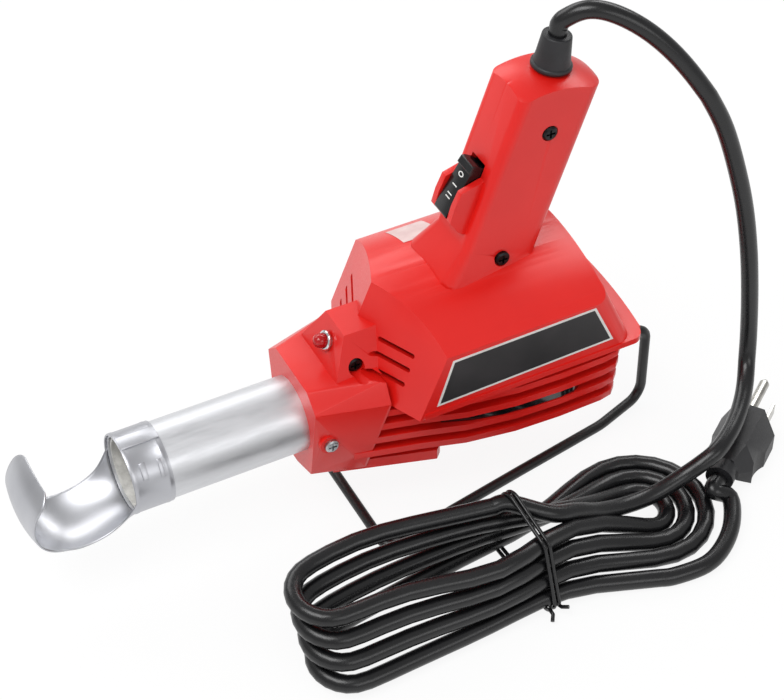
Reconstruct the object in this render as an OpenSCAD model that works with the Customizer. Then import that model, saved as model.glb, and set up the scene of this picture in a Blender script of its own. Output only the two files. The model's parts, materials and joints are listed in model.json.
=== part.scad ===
// Hot air embossing tool: a blower with a heater barrel, a spoon reflector,
// a raked handle with a rocker switch, a wire stand and a folded mains lead.
// Pieces are drawn from the barrel's axis at the block's front face
// (+X out of the nozzle, +Y to the left side, +Z to the handle),
// then placed() moves them so that the stand meets z = 0.

/* [Barrel] */
// Outside diameter of the heater barrel
barrel_d = 35; // [33:0.5:37]
// Free length of the barrel in front of the block
barrel_out = 81; // [74:1:90]
// Wall of the barrel
barrel_wall = 0.9; // [0.6:0.1:1.2]
// Length of the barrel held in the block
barrel_in = 36; // [34:1:38]
// Air gap between barrel and liner
liner_gap = 0.3; // [0.2:0.1:0.5]
// Wall of the insulating liner
liner_wall = 1.2; // [0.8:0.1:1.6]

/* [Reflector] */
// Length of the reflector's sleeve over the barrel
sleeve_len = 18; // [14:1:24]
// Thickness of the reflector's sheet
sheet = 0.7; // [0.5:0.1:1]
// Running gap between sleeve and barrel
sleeve_fit = 0.05; // [0.03:0.01:0.08]
// Radius of the curl at the spoon's end
curl_r = 22.2; // [20:0.2:25]
// Centre of the curl, in front of the sleeve's rim
curl_reach = 26; // [24:1:30]
// Half width of the spoon
spoon_half = 17; // [15:0.5:17.5]
// Angle of the lip above the axis
lip_angle = 56; // [45:1:60]

/* [Housing] */
// Wall of the moulded halves
wall = 3; // [2.5:0.1:3.5]
// Half width of the arched cover
cover_half = 43.5; // [42.5:0.1:44]
// Height of the cover's crown above the barrel's axis
crown_z = 61; // [60:0.5:62]
// Radius of the arch
arch_r = 71.5; // [68:0.5:76]
// Height of the flange's top
flange_top = 17.5; // [17:0.1:18]
// Thickness of the flange
flange_t = 3; // [2.6:0.1:3.4]
// Height of the top of the upper cooling fin
fin_top = 12.5; // [12.3:0.1:12.7]
// Distance from fin to fin
fin_pitch = 8.3; // [8.2:0.05:8.4]
// Thickness of a cooling fin
fin_t = 3.5; // [3.2:0.1:3.8]
// Depth of the gaps between the fins
fin_depth = 9; // [7:0.5:10]
// Width of a slot in the cover's face
slot_w = 2.2; // [1.8:0.1:2.6]
// Length of a slot in the cover's face
slot_len = 20; // [16:1:22]

/* [Handle] */
// Rake of the handle from the vertical
rake = 19.1; // [17:0.1:21]
// Width of the handle
handle_w = 28; // [26:0.5:30]
// Depth of the handle from front to back
handle_d = 40; // [38:0.5:42]
// Length of the handle's front face up to the butt
handle_len = 82.6; // [79:0.2:86]
// Width of the opening for the rocker
slot_y = 10.8; // [10:0.2:12]
// How far the switch guards stand proud
guard_h = 9.8; // [8:0.2:11]
// Thickness of a switch guard
guard_t = 3.2; // [2.6:0.2:3.6]

/* [Switch] */
// Tilt of the rocker at 0, and as much again past I to II
rocker_tilt = 12.7; // [10:0.1:14]
// Width of the rocker
rocker_y = 10; // [9:0.1:10.2]
// Length of the rocker
rocker_len = 27; // [25:0.5:27.5]
// Height of the rocker's face above its pivot
rocker_h = 14; // [13:0.5:15]
// Diameter of the rocker's pivot pin
pivot_d = 3; // [2.5:0.1:3.5]

/* [Blower] */
// Distance of the blower's axis behind the block's front face
blower_x = 104; // [103:0.5:105]
// Radius of the blower drum below its rim
drum_r = 38; // [37.4:0.1:38.6]
// Wall of the blower drum
drum_wall = 1.6; // [1.2:0.1:2]
// Diameter of the air inlet in the drum's top
inlet_d = 44; // [42:1:48]
// Radius of the fan wheel
fan_r = 33; // [30:0.5:35]
// Number of blades on the fan wheel
fan_blades = 16; // [8:1:24]
// Diameter of the motor's can
motor_d = 38; // [36:0.5:40]
// Length of the motor's can
motor_len = 34; // [30:1:36]
// Diameter of the motor's shaft
shaft_d = 4; // [3:0.5:5]
// Running gap of shafts and pins, on the radius
run_fit = 0.05; // [0.03:0.01:0.08]

/* [Stand] */
// Diameter of the stand's wire
wire_d = 4.8; // [4:0.2:5.4]
// Height of the barrel's axis above the table
axis_h = 52; // [51:0.5:56]
// How far the stand reaches behind the block's front face
stand_back = 172.5; // [172:0.5:174]
// Where the stand's cross bar lies behind the block's front face
stand_front = 20.5; // [16:0.5:24]
// Half width of the stand at its cross bar
stand_half = 52.3; // [50:0.5:53]
// Half width of the stand at its arms
arm_half = 18; // [16:0.5:20]

/* [Lead] */
// Diameter of the mains lead
lead_d = 8; // [7:0.5:8.2]
// Length of the tapered part of the strain relief
boot_len = 16; // [14:1:20]

/* [Hidden] */
$fn = 96;
eps = 0.01;
big = 400;
seat = 0.02;

// The wire spoon's tip and the stand's back set the middle of the length
sleeve_front = barrel_out + 1;
rim_lap = 1;
spoon_tip = sleeve_front - rim_lap + curl_reach + curl_r + sheet / 2;
stand_rear = stand_back + wire_d / 2;
mid_x = (spoon_tip - stand_rear) / 2;
module placed() { translate([-mid_x, 0, axis_h]) children(); }

// Places on the body, measured back from the block's front face
barrel_r = barrel_d / 2;
block_back_top = 33;
block_back_low = 24;
block_floor = 22.5;
keel_z = 28;
plate_end = 55;
crown_y = 18;
fin_n = 4;
floor_top = fin_top - 3 * fin_pitch;
floor_z = floor_top - fin_t;
deck_z = fin_top - fin_pitch;

// The front half of the outline that all fins follow, and its rounded back
outline = [[18, 24.6], [33, 28.5], [47, 32], [67, 38], [90, 41.6], [112, 42.6], [134, 42.2],
    [140, 41], [143.5, 37.5], [145.5, 30], [147, 16]];
function half_plan(inset, grow) = [for (p = outline)
    [-p[0] + (p[0] > 139 ? inset - grow : 0), max(p[1] - inset + grow, 4)]];
function plan(inset, grow) = let (h = half_plan(inset, grow), n = len(h))
    concat(h, [for (i = [n - 1:-1:0]) [h[i][0], -h[i][1]]]);

// The handle's own frame: u out of its front face, w up along it
handle_x = -75.7;
handle_z = 67;
half_w = handle_w / 2;
module in_handle() { translate([handle_x, 0, handle_z]) rotate([0, -rake, 0]) children(); }
front_r = 4;
back_r = 9;
butt_r = 47.5;
butt_tilt = 10.9;
butt_mid_w = handle_len + 3.85;
butt_u = -handle_d / 2;
butt_crown = 4.6;
terminal_u = -handle_d + wall + 0.2;

// Smooth step from 0 to 1
function ease(t) = let (q = max(0, min(1, t))) (1 - cos(180 * q)) / 2;

// Round-ended bar along Z for handle sections, built from squares and circles
module handle_section(cut) {
    hw = half_w - cut;
    fr = max(front_r - cut, 1);
    br = max(back_r - cut, 1);
    lo = -handle_d + cut;
    hi = -cut;
    translate([lo + br, -hw]) square([hi - fr - lo - br, 2 * hw]);
    translate([hi - fr - eps, -hw + fr]) square([fr + eps, 2 * (hw - fr)]);
    translate([lo, -hw + br]) square([br + eps, 2 * (hw - br)]);
    for (s = [-1, 1]) {
        translate([hi - fr, s * (hw - fr)]) circle(fr);
        translate([lo + br, s * (hw - br)]) circle(br);
    }
}

// The ball that crowns the butt, smaller by cut for the hollow
module butt_ball(cut) {
    translate([butt_u, 0, butt_mid_w])
        rotate([0, butt_tilt, 0])
            translate([0, 0, butt_crown - butt_r])
                sphere(butt_r - cut, $fn = 192);
}

module handle_bar(cut, low, high) {
    in_handle() intersection() {
        translate([0, 0, low]) linear_extrude(high - low) handle_section(cut);
        union() {
            butt_ball(cut);
            translate([-60, -30, -60]) cube([80, 60, 60 + handle_len - 22]);
        }
    }
}

// The cover over the motor: arch, vertical sides, two slanted front faces, slanted back
face_n = [0.851, 0.393, 0.345];
face_p = [-44.1, 30.1, 38.6];
module front_half_space(s, cut) {
    yaw = atan2(s * face_n[1], face_n[0]);
    pitch = asin(face_n[2]);
    translate([face_p[0], s * face_p[1], face_p[2]])
        rotate([0, 0, yaw])
            rotate([0, -pitch, 0])
                translate([-big - cut, -big / 2, -big / 2])
                    cube([big, big, big]);
}
back_slant = 23.9;
back_r_plan = 266;
back_x = -137.2;
back_level = 48;
back_round = 7;
back_sag = back_r_plan - sqrt(back_r_plan ^ 2 - (cover_half - back_round) ^ 2);
module back_outline(cut) {
    intersection() {
        translate([back_r_plan + cut, 0]) circle(r = back_r_plan, $fn = 512);
        union() {
            translate([back_sag + back_round, -cover_half + cut]) square([big, 2 * (cover_half - cut)]);
            translate([cut, back_round - cover_half]) square([big, 2 * (cover_half - back_round)]);
            for (s = [-1, 1])
                translate([back_sag + back_round, s * (cover_half - back_round)])
                    circle(r = back_round - cut, $fn = 64);
        }
    }
}
module cover(cut, low) {
    intersection() {
        translate([-200, 0, crown_z - arch_r])
            rotate([0, 90, 0])
                cylinder(r = arch_r - cut, h = big, $fn = 256);
        translate([-200, -cover_half + cut, low])
            cube([big, 2 * (cover_half - cut), big]);
        front_half_space(1, cut);
        front_half_space(-1, cut);
        translate([back_x, 0, back_level])
            rotate([0, back_slant, 0])
                translate([0, 0, -big / 2]) linear_extrude(big) back_outline(cut);
    }
}

// The wide foot where the handle leaves the cover
foot_y = 4.5;
foot_sink = 0.4;
module handle_foot() {
    in_handle() hull() {
        for (s = [-1, 1]) {
            translate([1, s * (half_w + foot_y - 6), -10]) cylinder(r = 6, h = 2, $fn = 24);
            translate([-handle_d - 2, s * (half_w + foot_y - 6), -14])
                cylinder(r = 6, h = 2, $fn = 24);
            translate([-front_r, s * (half_w - front_r), 6])
                cylinder(r = front_r - foot_sink, h = 1, $fn = 24);
            translate([-handle_d + back_r, s * (half_w - back_r), 6])
                cylinder(r = back_r - foot_sink, h = 1, $fn = 24);
        }
    }
}

// The front block that holds the barrel, with its keel and sloping shoulders
block_low_y = 16.7;
block_top_y = 21.8;
block_top_z = 19.8;
module block_corner(x, y, z, r) {
    translate([x, y, z]) rotate([0, 90, 0]) cylinder(r = r, h = 1, $fn = 24);
}
module block() {
    back = -block_back_top;
    low = -block_back_low;
    hull() {
        for (s = [-1, 1]) {
            block_corner(-1, s * block_top_y, block_top_z - 2, 2);
            block_corner(-1, s * block_low_y, -block_floor, 1);
            block_corner(-1, s * 15, 24, 2);
            block_corner(back, s * 29.2, 17, 2);
            block_corner(low, s * 23.4, -block_floor, 1);
            block_corner(back, s * 24, 26, 2);
        }
        translate([low, -3, -keel_z]) cube([-low, 6, 2]);
    }
}

// The raised box for the indicator lamp
box_front = 21.5;
box_top = 44.5;
box_half = 9;
module lamp_box(cut) {
    hull() {
        translate([-46, -box_half + cut, box_top - cut - 1])
            cube([46 - box_front - cut, 2 * (box_half - cut), 1]);
        translate([-46, -crown_y + cut, 24]) cube([46 - 13 - cut, 2 * (crown_y - cut), 2]);
    }
}

// The bottom plate under the block, and its toe
module bottom_plate() {
    half = [[-10, 19.5], [-plate_end, 33], [-plate_end - 3, 30]];
    translate([0, 0, -block_floor - 2.5])
        linear_extrude(5.5)
            polygon(concat(half, [for (i = [2:-1:0]) [half[i][0], -half[i][1]]]));
    translate([-plate_end + 4, 24, -block_floor - 2])
        rotate([0, 180, 0]) cylinder(r1 = 3, r2 = 1, h = 5, $fn = 24);
}

// Level plates: the fins, each a little wider towards the top, and the rear flange
module fins() {
    for (i = [0:fin_n - 1])
        translate([0, 0, fin_top - fin_t - i * fin_pitch])
            linear_extrude(fin_t)
                polygon(plan(0, (fin_n - 1 - i) * 0.4));
    translate([0, 0, floor_z]) linear_extrude(flange_top - floor_z) polygon(plan(fin_depth, 0));
}
module flange() {
    translate([0, 0, flange_top - flange_t]) linear_extrude(flange_t) intersection() {
        translate([-157.5 + 266, 0]) circle(r = 266, $fn = 512);
        translate([-160, -44]) square([160 - 43, 88]);
        union() {
            translate([-148, -44]) square([150, 88]);
            translate([-160, -38]) square([150, 76]);
            for (s = [-1, 1])
                translate([-148, s * 38]) circle(6);
        }
    }
}

// Slots in the cover's two front faces
slot_rows = [[-40.2, 21.2, 39.7], [-38, 21.6, 33], [-35.2, 22, 26]];
module face_slots() {
    for (s = [-1, 1], p = slot_rows)
        translate([p[0], s * p[1], p[2]])
            rotate([0, 0, atan2(s * face_n[1], face_n[0])])
                rotate([0, 90 - asin(face_n[2]), 0])
                    translate([0, 0, -8])
                        linear_extrude(16) {
                            square([slot_w, slot_len - slot_w], center = true);
                            for (e = [-1, 1])
                                translate([0, e * (slot_len - slot_w) / 2]) circle(slot_w / 2, $fn = 32);
                        }
}

// Switch guards on the handle's front, either side of the rocker
guard = [[-0.5, 39.6], [1.6, 38.4], [guard_h - 0.5, 33], [guard_h + 0.2, 25.3], [guard_h - 0.2, 18],
    [3.3, 13], [-0.5, 11.9]];
module guards() {
    in_handle()
        for (s = [-1, 1])
            translate([0, s * (slot_y + guard_t) / 2, 0])
                rotate([90, 0, 0])
                    linear_extrude(guard_t, center = true)
                        polygon(guard);
}

// The rocker's opening, and the switch body behind it
body_w = 15;
body_deep = 25;
body_low = 9;
body_h = 39;
well_low = 11.6;
well_high = 45.4;
pivot_u = -6;
pivot_w = 28.5;
module rocker_opening() {
    in_handle() translate([-wall - 1, -slot_y / 2, well_low]) cube([30, slot_y, well_high - well_low]);
}

// Screws that hold the halves: place, head height, radius of the head
screw_r = 1.5;
head_r = 3.4;
head_t = 2;
screw_u = -19.8;
screw_w = handle_len - 15.7;
handle_screws = [[handle_x + screw_u * cos(rake) - screw_w * sin(rake),
    handle_z + screw_u * sin(rake) + screw_w * cos(rake), half_w - 1.2], [-95, 64, half_w + foot_y - 4.2]];
body_screws = [[-24, 30.5, 12.6]];
all_screws = concat(handle_screws, body_screws);
boss_r = 5;
screw_reach = 7;
module screw_holes(list) {
    for (p = list) {
        translate([p[0], p[2], p[1]]) rotate([-90, 0, 0]) cylinder(r = head_r + 0.4, h = 20, $fn = 48);
        translate([p[0], -screw_reach, p[1]]) rotate([-90, 0, 0])
            cylinder(r = screw_r + run_fit, h = p[2] + screw_reach + 1, $fn = 48);
    }
}
module bosses() {
    for (p = all_screws)
        translate([p[0], -30, p[1]]) rotate([-90, 0, 0])
            cylinder(r = boss_r, h = 60, $fn = 48);
}
module phillips(head, length, reach) {
    difference() {
        union() {
            cylinder(r = head, h = head_t - 0.6, $fn = 48);
            translate([0, 0, head_t - 0.6]) cylinder(r1 = head, r2 = head - 0.6, h = 0.6, $fn = 48);
            translate([0, 0, -length]) cylinder(r = reach, h = length + eps, $fn = 48);
        }
        for (a = [0, 90])
            rotate([0, 0, a]) translate([-head * 0.62, -0.5, head_t - 1.2]) cube([head * 1.24, 1, 3]);
    }
}

// Bright screws in the block's side bosses
side_screw_x = -7;
side_screw_z = -1.7;
side_boss_y = 24;
clamp_x = 5.2;
clamp_t = 1.6;
module side_bosses() {
    for (s = [-1, 1])
        translate([side_screw_x, s * (side_boss_y - 8), side_screw_z])
            rotate([-90 * s, 0, 0])
                cylinder(r = 5, h = 8, $fn = 48);
}

// Where the motor sits above the deck
motor_r = motor_d / 2;
motor_z = deck_z + 5;
shelf_z = 34;
lid_t = 1.5;
drum_low = floor_top + 0.2;
drum_top = deck_z - fin_t - 0.2;
drum_h = drum_top - drum_low;
rim_low = fin_top - 2 * fin_pitch + 0.1;

// The drum's rim shows between the fins. It follows their edge and draws back to the front
rim_half = [[57, 32.2], [70, 37.2], [84, 40.4], [98, 41.9], [112, 42.5], [119, 42.2],
    [122.5, 40.6], [124, 37]];
function rim_side(grow) = [for (p = rim_half) [(p[0] < 90 ? grow : -grow) - p[0], p[1] + grow]];
module rim(grow) {
    h = rim_side(grow);
    polygon(concat(h, [for (i = [len(h) - 1:-1:0]) [h[i][0], -h[i][1]]]));
}
duct_half = 12;
inlet_r = inlet_d / 2 - 7;
duct_front = 40;

module outer_shell() {
    block();
    lamp_box(0);
    bottom_plate();
    fins();
    flange();
    cover(0, flange_top - flange_t);
    handle_foot();
    handle_bar(0, -12, 120);
    guards();
    side_bosses();
}

module inner_space() {
    cover(wall, flange_top);
    translate([0, 0, floor_top]) linear_extrude(deck_z - fin_t - floor_top)
        polygon(plan(fin_depth + wall, 0));
    translate([0, 0, deck_z + eps]) linear_extrude(flange_top - deck_z)
        polygon(plan(fin_depth + wall, 0));
    handle_bar(wall, -14, 130);
    translate([-40, -14, -15]) cube([40 - 8, 28, 34]);
    translate([-44, -12, 15]) cube([20, 24, 16]);
}

module ribs() {
    intersection() {
        cover(wall - 0.5, deck_z);
        difference() {
            translate([-150, -50, shelf_z]) cube([120, 100, 3]);
            translate([-blower_x, 0, 0]) cylinder(r = motor_r + seat, h = big);
            translate([-66, -60, 0]) cube([60, 120, 80]);
        }
    }
    translate([-blower_x, 0, deck_z - fin_t])
        difference() {
            cylinder(r = motor_r + 3, h = 5.2 + fin_t - 0.2);
            translate([0, 0, -1]) cylinder(r = inlet_r + 1, h = 20);
        }
    translate([-40, -20, -18]) difference() {
        cube([4, 40, 36]);
        translate([-1, 20, 18]) rotate([0, 90, 0]) cylinder(r = barrel_r - 4, h = 6);
    }
    difference() {
        in_handle() translate([-handle_d + 1, -half_w + 1, 50]) cube([handle_d - 2, handle_w - 2, 2.5]);
        in_handle() translate([-handle_d, -7, 40]) cube([14, 14, 30]);
    }
}

lamp_x = -18;
lamp_z = 35.8;
lamp_tilt = 23;
bezel_r = 4.6;
lens_r = 3.3;
lamp_deep = 5;
module at_lamp() { translate([lamp_x, 0, lamp_z]) rotate([0, 90 - lamp_tilt, 0]) children(); }

boot_r = 9;
boot_top_r = 6.4;
neck_r = 6;
boot_in = 7;
module at_butt() {
    in_handle() translate([butt_u, 0, butt_mid_w])
        rotate([0, butt_tilt, 0]) translate([0, 0, butt_crown]) children();
}

module shell() {
    difference() {
        union() {
            difference() {
                outer_shell();
                inner_space();
            }
            intersection() {
                union() {
                    ribs();
                    bosses();
                }
                outer_shell();
            }
        }
        face_slots();
        rocker_opening();
        in_handle() translate([-body_deep - 2, -body_w / 2 - 0.1, body_low - 1])
            cube([body_deep + 2 - wall, body_w + 0.2, body_h + 2]);
        screw_holes(all_screws);
        rotate([0, 90, 0]) translate([0, 0, -barrel_in - 0.1])
            cylinder(r = barrel_r + seat, h = 80);
        translate([-clamp_x - seat, 0, 0]) rotate([0, 90, 0])
            cylinder(r = barrel_r + 2.6, h = clamp_t + 2 * seat);
        translate([-blower_x, 0, drum_low - 0.1]) cylinder(r = drum_r + 0.2, h = drum_h + 0.2);
        translate([0, 0, rim_low - 0.05]) linear_extrude(drum_top - rim_low + 0.1) rim(0.2);
        translate([-blower_x, 0, motor_z]) cylinder(r = motor_r + seat, h = motor_len + 5);
        translate([-blower_x, 0, drum_top - 2]) cylinder(r = inlet_r, h = 20);
        for (a = [45, 135])
            translate([-blower_x, 0, deck_z]) rotate([0, 0, a])
                translate([-motor_r - 4, -6, 0]) cube([2 * motor_r + 8, 12, 4]);
        translate([-blower_x, -duct_half - 0.2, drum_low - 0.1])
            cube([blower_x - duct_front, 2 * duct_half + 0.4, drum_h + 0.2]);
        at_lamp() translate([0, 0, -lamp_deep - 1]) cylinder(r = lens_r + 0.3, h = 30, $fn = 48);
        at_butt() translate([0, 0, -boot_in - 4]) cylinder(r = neck_r + seat, h = 40, $fn = 64);
        for (s = [-1, 1])
            translate([side_screw_x, s * (side_boss_y - 7), side_screw_z])
                rotate([-90 * s, 0, 0])
                    translate([0, 0, -1]) cylinder(r = screw_r + run_fit, h = 20, $fn = 48);
        stand_seat_cut();
    }
}

module left_housing() {
    color("crimson") placed() intersection() {
        shell();
        translate([-big / 2, 0, -big / 2]) cube(big);
    }
}
module right_housing() {
    color("firebrick") placed() intersection() {
        shell();
        translate([-big / 2, -big, -big / 2]) cube(big);
    }
}

module housing_screws() {
    color("dimgray") placed()
        for (p = all_screws)
            translate([p[0], p[2], p[1]]) rotate([-90, 0, 0])
                phillips(head_r, p[2] + screw_reach - 1, screw_r);
}
module block_screw() {
    color("silver") placed()
        for (s = [-1, 1])
            translate([side_screw_x, s * side_boss_y, side_screw_z]) rotate([-90 * s, 0, 0])
                phillips(3.2, 6, screw_r);
}

module barrel_tube() {
    color("gainsboro") placed() rotate([0, 90, 0]) translate([0, 0, -barrel_in])
        difference() {
            cylinder(r = barrel_r, h = barrel_in + barrel_out);
            translate([0, 0, -1]) cylinder(r = barrel_r - barrel_wall, h = barrel_in + barrel_out + 2);
        }
}
module barrel_clamp() {
    color("silver") placed() translate([-clamp_x, 0, 0]) rotate([0, 90, 0])
        difference() {
            cylinder(r = barrel_r + 2.5, h = clamp_t);
            translate([0, 0, -1]) cylinder(r = barrel_r + 0.03, h = 4);
        }
}
liner_r = barrel_r - barrel_wall - liner_gap;
liner_back = 20;
module heat_liner() {
    color("whitesmoke") placed() rotate([0, 90, 0]) translate([0, 0, -liner_back])
        difference() {
            cylinder(r = liner_r, h = liner_back + barrel_out - 1);
            translate([0, 0, -1]) cylinder(r = liner_r - liner_wall, h = liner_back + barrel_out + 2);
        }
}
former_r = liner_r - liner_wall - 0.2;
coil_wire = 1.4;
coil_r = 9.4;
former_front = barrel_out - 7;
module heater_former() {
    color("beige") placed()
        for (a = [0, 90])
            rotate([a, 0, 0]) difference() {
                translate([-10, -former_r, -0.5]) cube([former_front + 10, 2 * former_r, 1]);
                for (s = [-1, 1])
                    translate([2, s * coil_r - 1, -1]) cube([former_front - 4, 2, 2]);
            }
}
// One helix of resistance wire round the former
coil_turns = 10;
coil_pitch = (former_front - 12) / coil_turns;
function coil_path() = [for (i = [0:coil_turns * 8])
    [5 + i * coil_pitch / 8, coil_r * cos(i * 45), coil_r * sin(i * 45)]];
module heater_coil() { color("tan") placed() tube(coil_path(), coil_wire / 2, 6); }
module thermal_cutout() {
    color("black") placed() rotate([-45, 0, 0])
        translate([-16, 0, -liner_r + liner_wall + 3.1]) rotate([0, 90, 0]) {
        cylinder(r = 3, h = 11, $fn = 32);
        translate([0, 0, -4]) cylinder(r = 0.6, h = 19, $fn = 16);
    }
}

// Sheet metal reflector: a sleeve, then a trough that flattens and curls up
sleeve_r = barrel_r + sleeve_fit;
trough_r = sleeve_r + sheet / 2;
flat_end = curl_reach;
curl_len = curl_r * PI * (90 + lip_angle) / 180;
spoon_len = flat_end + curl_len;
corner_r = 7;
function spoon_x(q) = q < flat_end ? sleeve_front - rim_lap + q : sleeve_front - rim_lap + flat_end
    + curl_r * sin(spoon_turn(q));
function spoon_turn(q) = max(0, q - flat_end) / curl_r * 180 / PI;
spoon_drop = curl_r - trough_r;
function spoon_z(q) = q < flat_end ? -trough_r - spoon_drop * ease(q / flat_end)
    : -curl_r * cos(spoon_turn(q));
function spoon_arc(q) = trough_r + 11 * ease(q / 18) + 60 * ease((q - 34) / 30);
function spoon_w(q) = let (e = max(0, q - spoon_len + corner_r) / corner_r)
    spoon_half - corner_r * (1 - sqrt(max(0, 1 - e * e * 0.96)))
    + (trough_r - spoon_half) * (1 - ease(q / 9));
function spoon_pt(q, t, off) = let (a = spoon_turn(q), r = spoon_arc(q),
        b = asin(min(0.9999, spoon_w(q) / r)) * t, n = r * (1 - cos(b)) + off * cos(b))
    [spoon_x(q) - sin(a) * n, r * sin(b) - off * sin(b), spoon_z(q) + cos(a) * n];
spoon_q = concat([for (i = [0:9]) flat_end * i / 9],
    [for (i = [1:14]) flat_end + (curl_len - corner_r) * i / 14],
    [for (i = [1:5]) spoon_len - corner_r + corner_r * sin(i * 18)]);
spoon_m = 16;
// The spoon's root is thinner, so that it ends inside the sleeve's wall
function spoon_off(q) = sheet / 2 * (0.4 + 0.6 * ease(q / 2));
module reflector() {
    color("silver") placed() {
        rotate([0, 90, 0]) translate([0, 0, sleeve_front - sleeve_len])
            difference() {
                cylinder(r = sleeve_r + sheet, h = sleeve_len);
                translate([0, 0, -1]) cylinder(r = sleeve_r, h = sleeve_len + 2);
                translate([-sleeve_r - 2, -0.4, -1]) cube([4, 0.8, sleeve_len + 2]);
            }
        sheet_skin([for (q = spoon_q) [for (j = [0:spoon_m]) spoon_pt(q, 2 * j / spoon_m - 1, spoon_off(q))]],
            [for (q = spoon_q) [for (j = [0:spoon_m]) spoon_pt(q, 2 * j / spoon_m - 1, -spoon_off(q))]]);
    }
}

// A closed thin solid between two grids of points
module sheet_skin(top, low) {
    n = len(top);
    m = len(top[0]);
    pts = concat([for (r = top) each r], [for (r = low) each r]);
    o = n * m;
    function quad(a, b, c, d) = [[a, b, c], [a, c, d]];
    faces = concat(
        [for (i = [0:n - 2], j = [0:m - 2]) each
            quad(i * m + j, i * m + j + 1, (i + 1) * m + j + 1, (i + 1) * m + j)],
        [for (i = [0:n - 2], j = [0:m - 2]) each
            quad(o + i * m + j, o + (i + 1) * m + j, o + (i + 1) * m + j + 1, o + i * m + j + 1)],
        [for (i = [0:n - 2]) each quad(i * m, (i + 1) * m, o + (i + 1) * m, o + i * m)],
        [for (i = [0:n - 2]) each
            quad(i * m + m - 1, o + i * m + m - 1, o + (i + 1) * m + m - 1, (i + 1) * m + m - 1)],
        [for (j = [0:m - 2]) each quad(j, o + j, o + j + 1, j + 1)],
        [for (j = [0:m - 2]) each quad((n - 1) * m + j, (n - 1) * m + j + 1,
            o + (n - 1) * m + j + 1, o + (n - 1) * m + j)]);
    polyhedron(pts, faces, convexity = 6);
}

// A tube swept along points, with its rings kept square to the path
function unit(v) = v / norm(v);
function tangents(p) = let (n = len(p)) [for (i = [0:n - 1])
    i == 0 ? unit(p[1] - p[0]) : i == n - 1 ? unit(p[n - 1] - p[n - 2])
    : unit(unit(p[i + 1] - p[i]) + unit(p[i] - p[i - 1]))];
function carry(t, i, v) = i == len(t) ? []
    : let (s = unit(v - (v * t[i]) * t[i])) concat([s], carry(t, i + 1, s));
module tube(p, r, sides) {
    t = tangents(p);
    n = len(p);
    start = abs(t[0][2]) < 0.8 ? [0, 0, 1] : [1, 0, 0];
    s = carry(t, 0, start);
    ring = [for (i = [0:n - 1], k = [0:sides - 1])
        p[i] + r * (s[i] * cos(k * 360 / sides) + cross(t[i], s[i]) * sin(k * 360 / sides))];
    faces = concat(
        [for (k = [1:sides - 2]) [0, k, k + 1]],
        [for (k = [1:sides - 2]) [(n - 1) * sides, (n - 1) * sides + k + 1, (n - 1) * sides + k]],
        [for (i = [0:n - 2], k = [0:sides - 1]) each let (a = i * sides + k, b = i * sides + (k + 1) % sides)
            [[a, a + sides, b + sides], [a, b + sides, b]]]);
    polyhedron(ring, faces, convexity = 10);
}

module lamp_bezel() {
    color("gainsboro") placed() at_lamp() difference() {
        union() {
            translate([0, 0, -lamp_deep]) cylinder(r = lens_r + 0.25, h = lamp_deep + 1, $fn = 48);
            translate([0, 0, 0.9]) cylinder(r = bezel_r, h = 1.6, $fn = 48);
        }
        translate([0, 0, -10]) cylinder(r = lens_r, h = 20, $fn = 48);
    }
}
module lamp_lens() {
    color("red") placed() at_lamp() {
        translate([0, 0, -2]) cylinder(r = lens_r - 0.02, h = 6, $fn = 48);
        intersection() {
            translate([0, 0, 4]) sphere(lens_r - 0.02, $fn = 48);
            translate([0, 0, 4 - eps]) cylinder(r = 5, h = 5, $fn = 48);
        }
    }
}
module lamp_body() {
    color("ivory") placed() at_lamp() translate([0, 0, -lamp_deep])
        cylinder(r = lens_r - 0.04, h = lamp_deep - 2.05, $fn = 48);
}

// The rocker and the switch body behind it
pin_reach = 1.4;
module rocker() {
    half = rocker_len / 2;
    face = [[-5, -3], [5, -3], [half - 0.5, 7], [half, 9], [half, rocker_h - 0.6],
        [half - 0.6, rocker_h + 1], [half - 4, rocker_h + 1.2], [half - 4.4, rocker_h],
        [half - 5.4, rocker_h], [-half + 0.8, rocker_h],
        [-half, rocker_h - 0.8], [-half, 9], [-half + 0.5, 7]];
    color("black") placed() in_handle() translate([pivot_u, 0, pivot_w]) rotate([0, -rocker_tilt, 0]) {
        rotate([90, 0, 0])
            linear_extrude(rocker_y, center = true)
                polygon([for (p = face) [p[1], p[0]]]);
        rotate([90, 0, 0]) cylinder(d = pivot_d, h = rocker_y + 2 * pin_reach, center = true, $fn = 64);
    }
}
module switch_body() {
    tab_u = terminal_u + 5.8;
    color("black") placed() in_handle() difference() {
        union() {
            translate([-body_deep, -body_w / 2, body_low]) cube([body_deep - wall - seat, body_w, body_h]);
            for (k = [-1, 0, 1])
                translate([tab_u, -0.5, body_low + body_h / 2 + 12 * k - 1])
                    cube([1 - body_deep - tab_u, 4, 1]);
        }
        translate([-11.5, -slot_y / 2, well_low]) cube([20, slot_y, well_high - well_low]);
        translate([pivot_u, 0, pivot_w]) rotate([90, 0, 0])
            cylinder(r = pivot_d / 2 + run_fit, h = rocker_y + 2 * pin_reach + 0.3, center = true, $fn = 64);
    }
}

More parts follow.
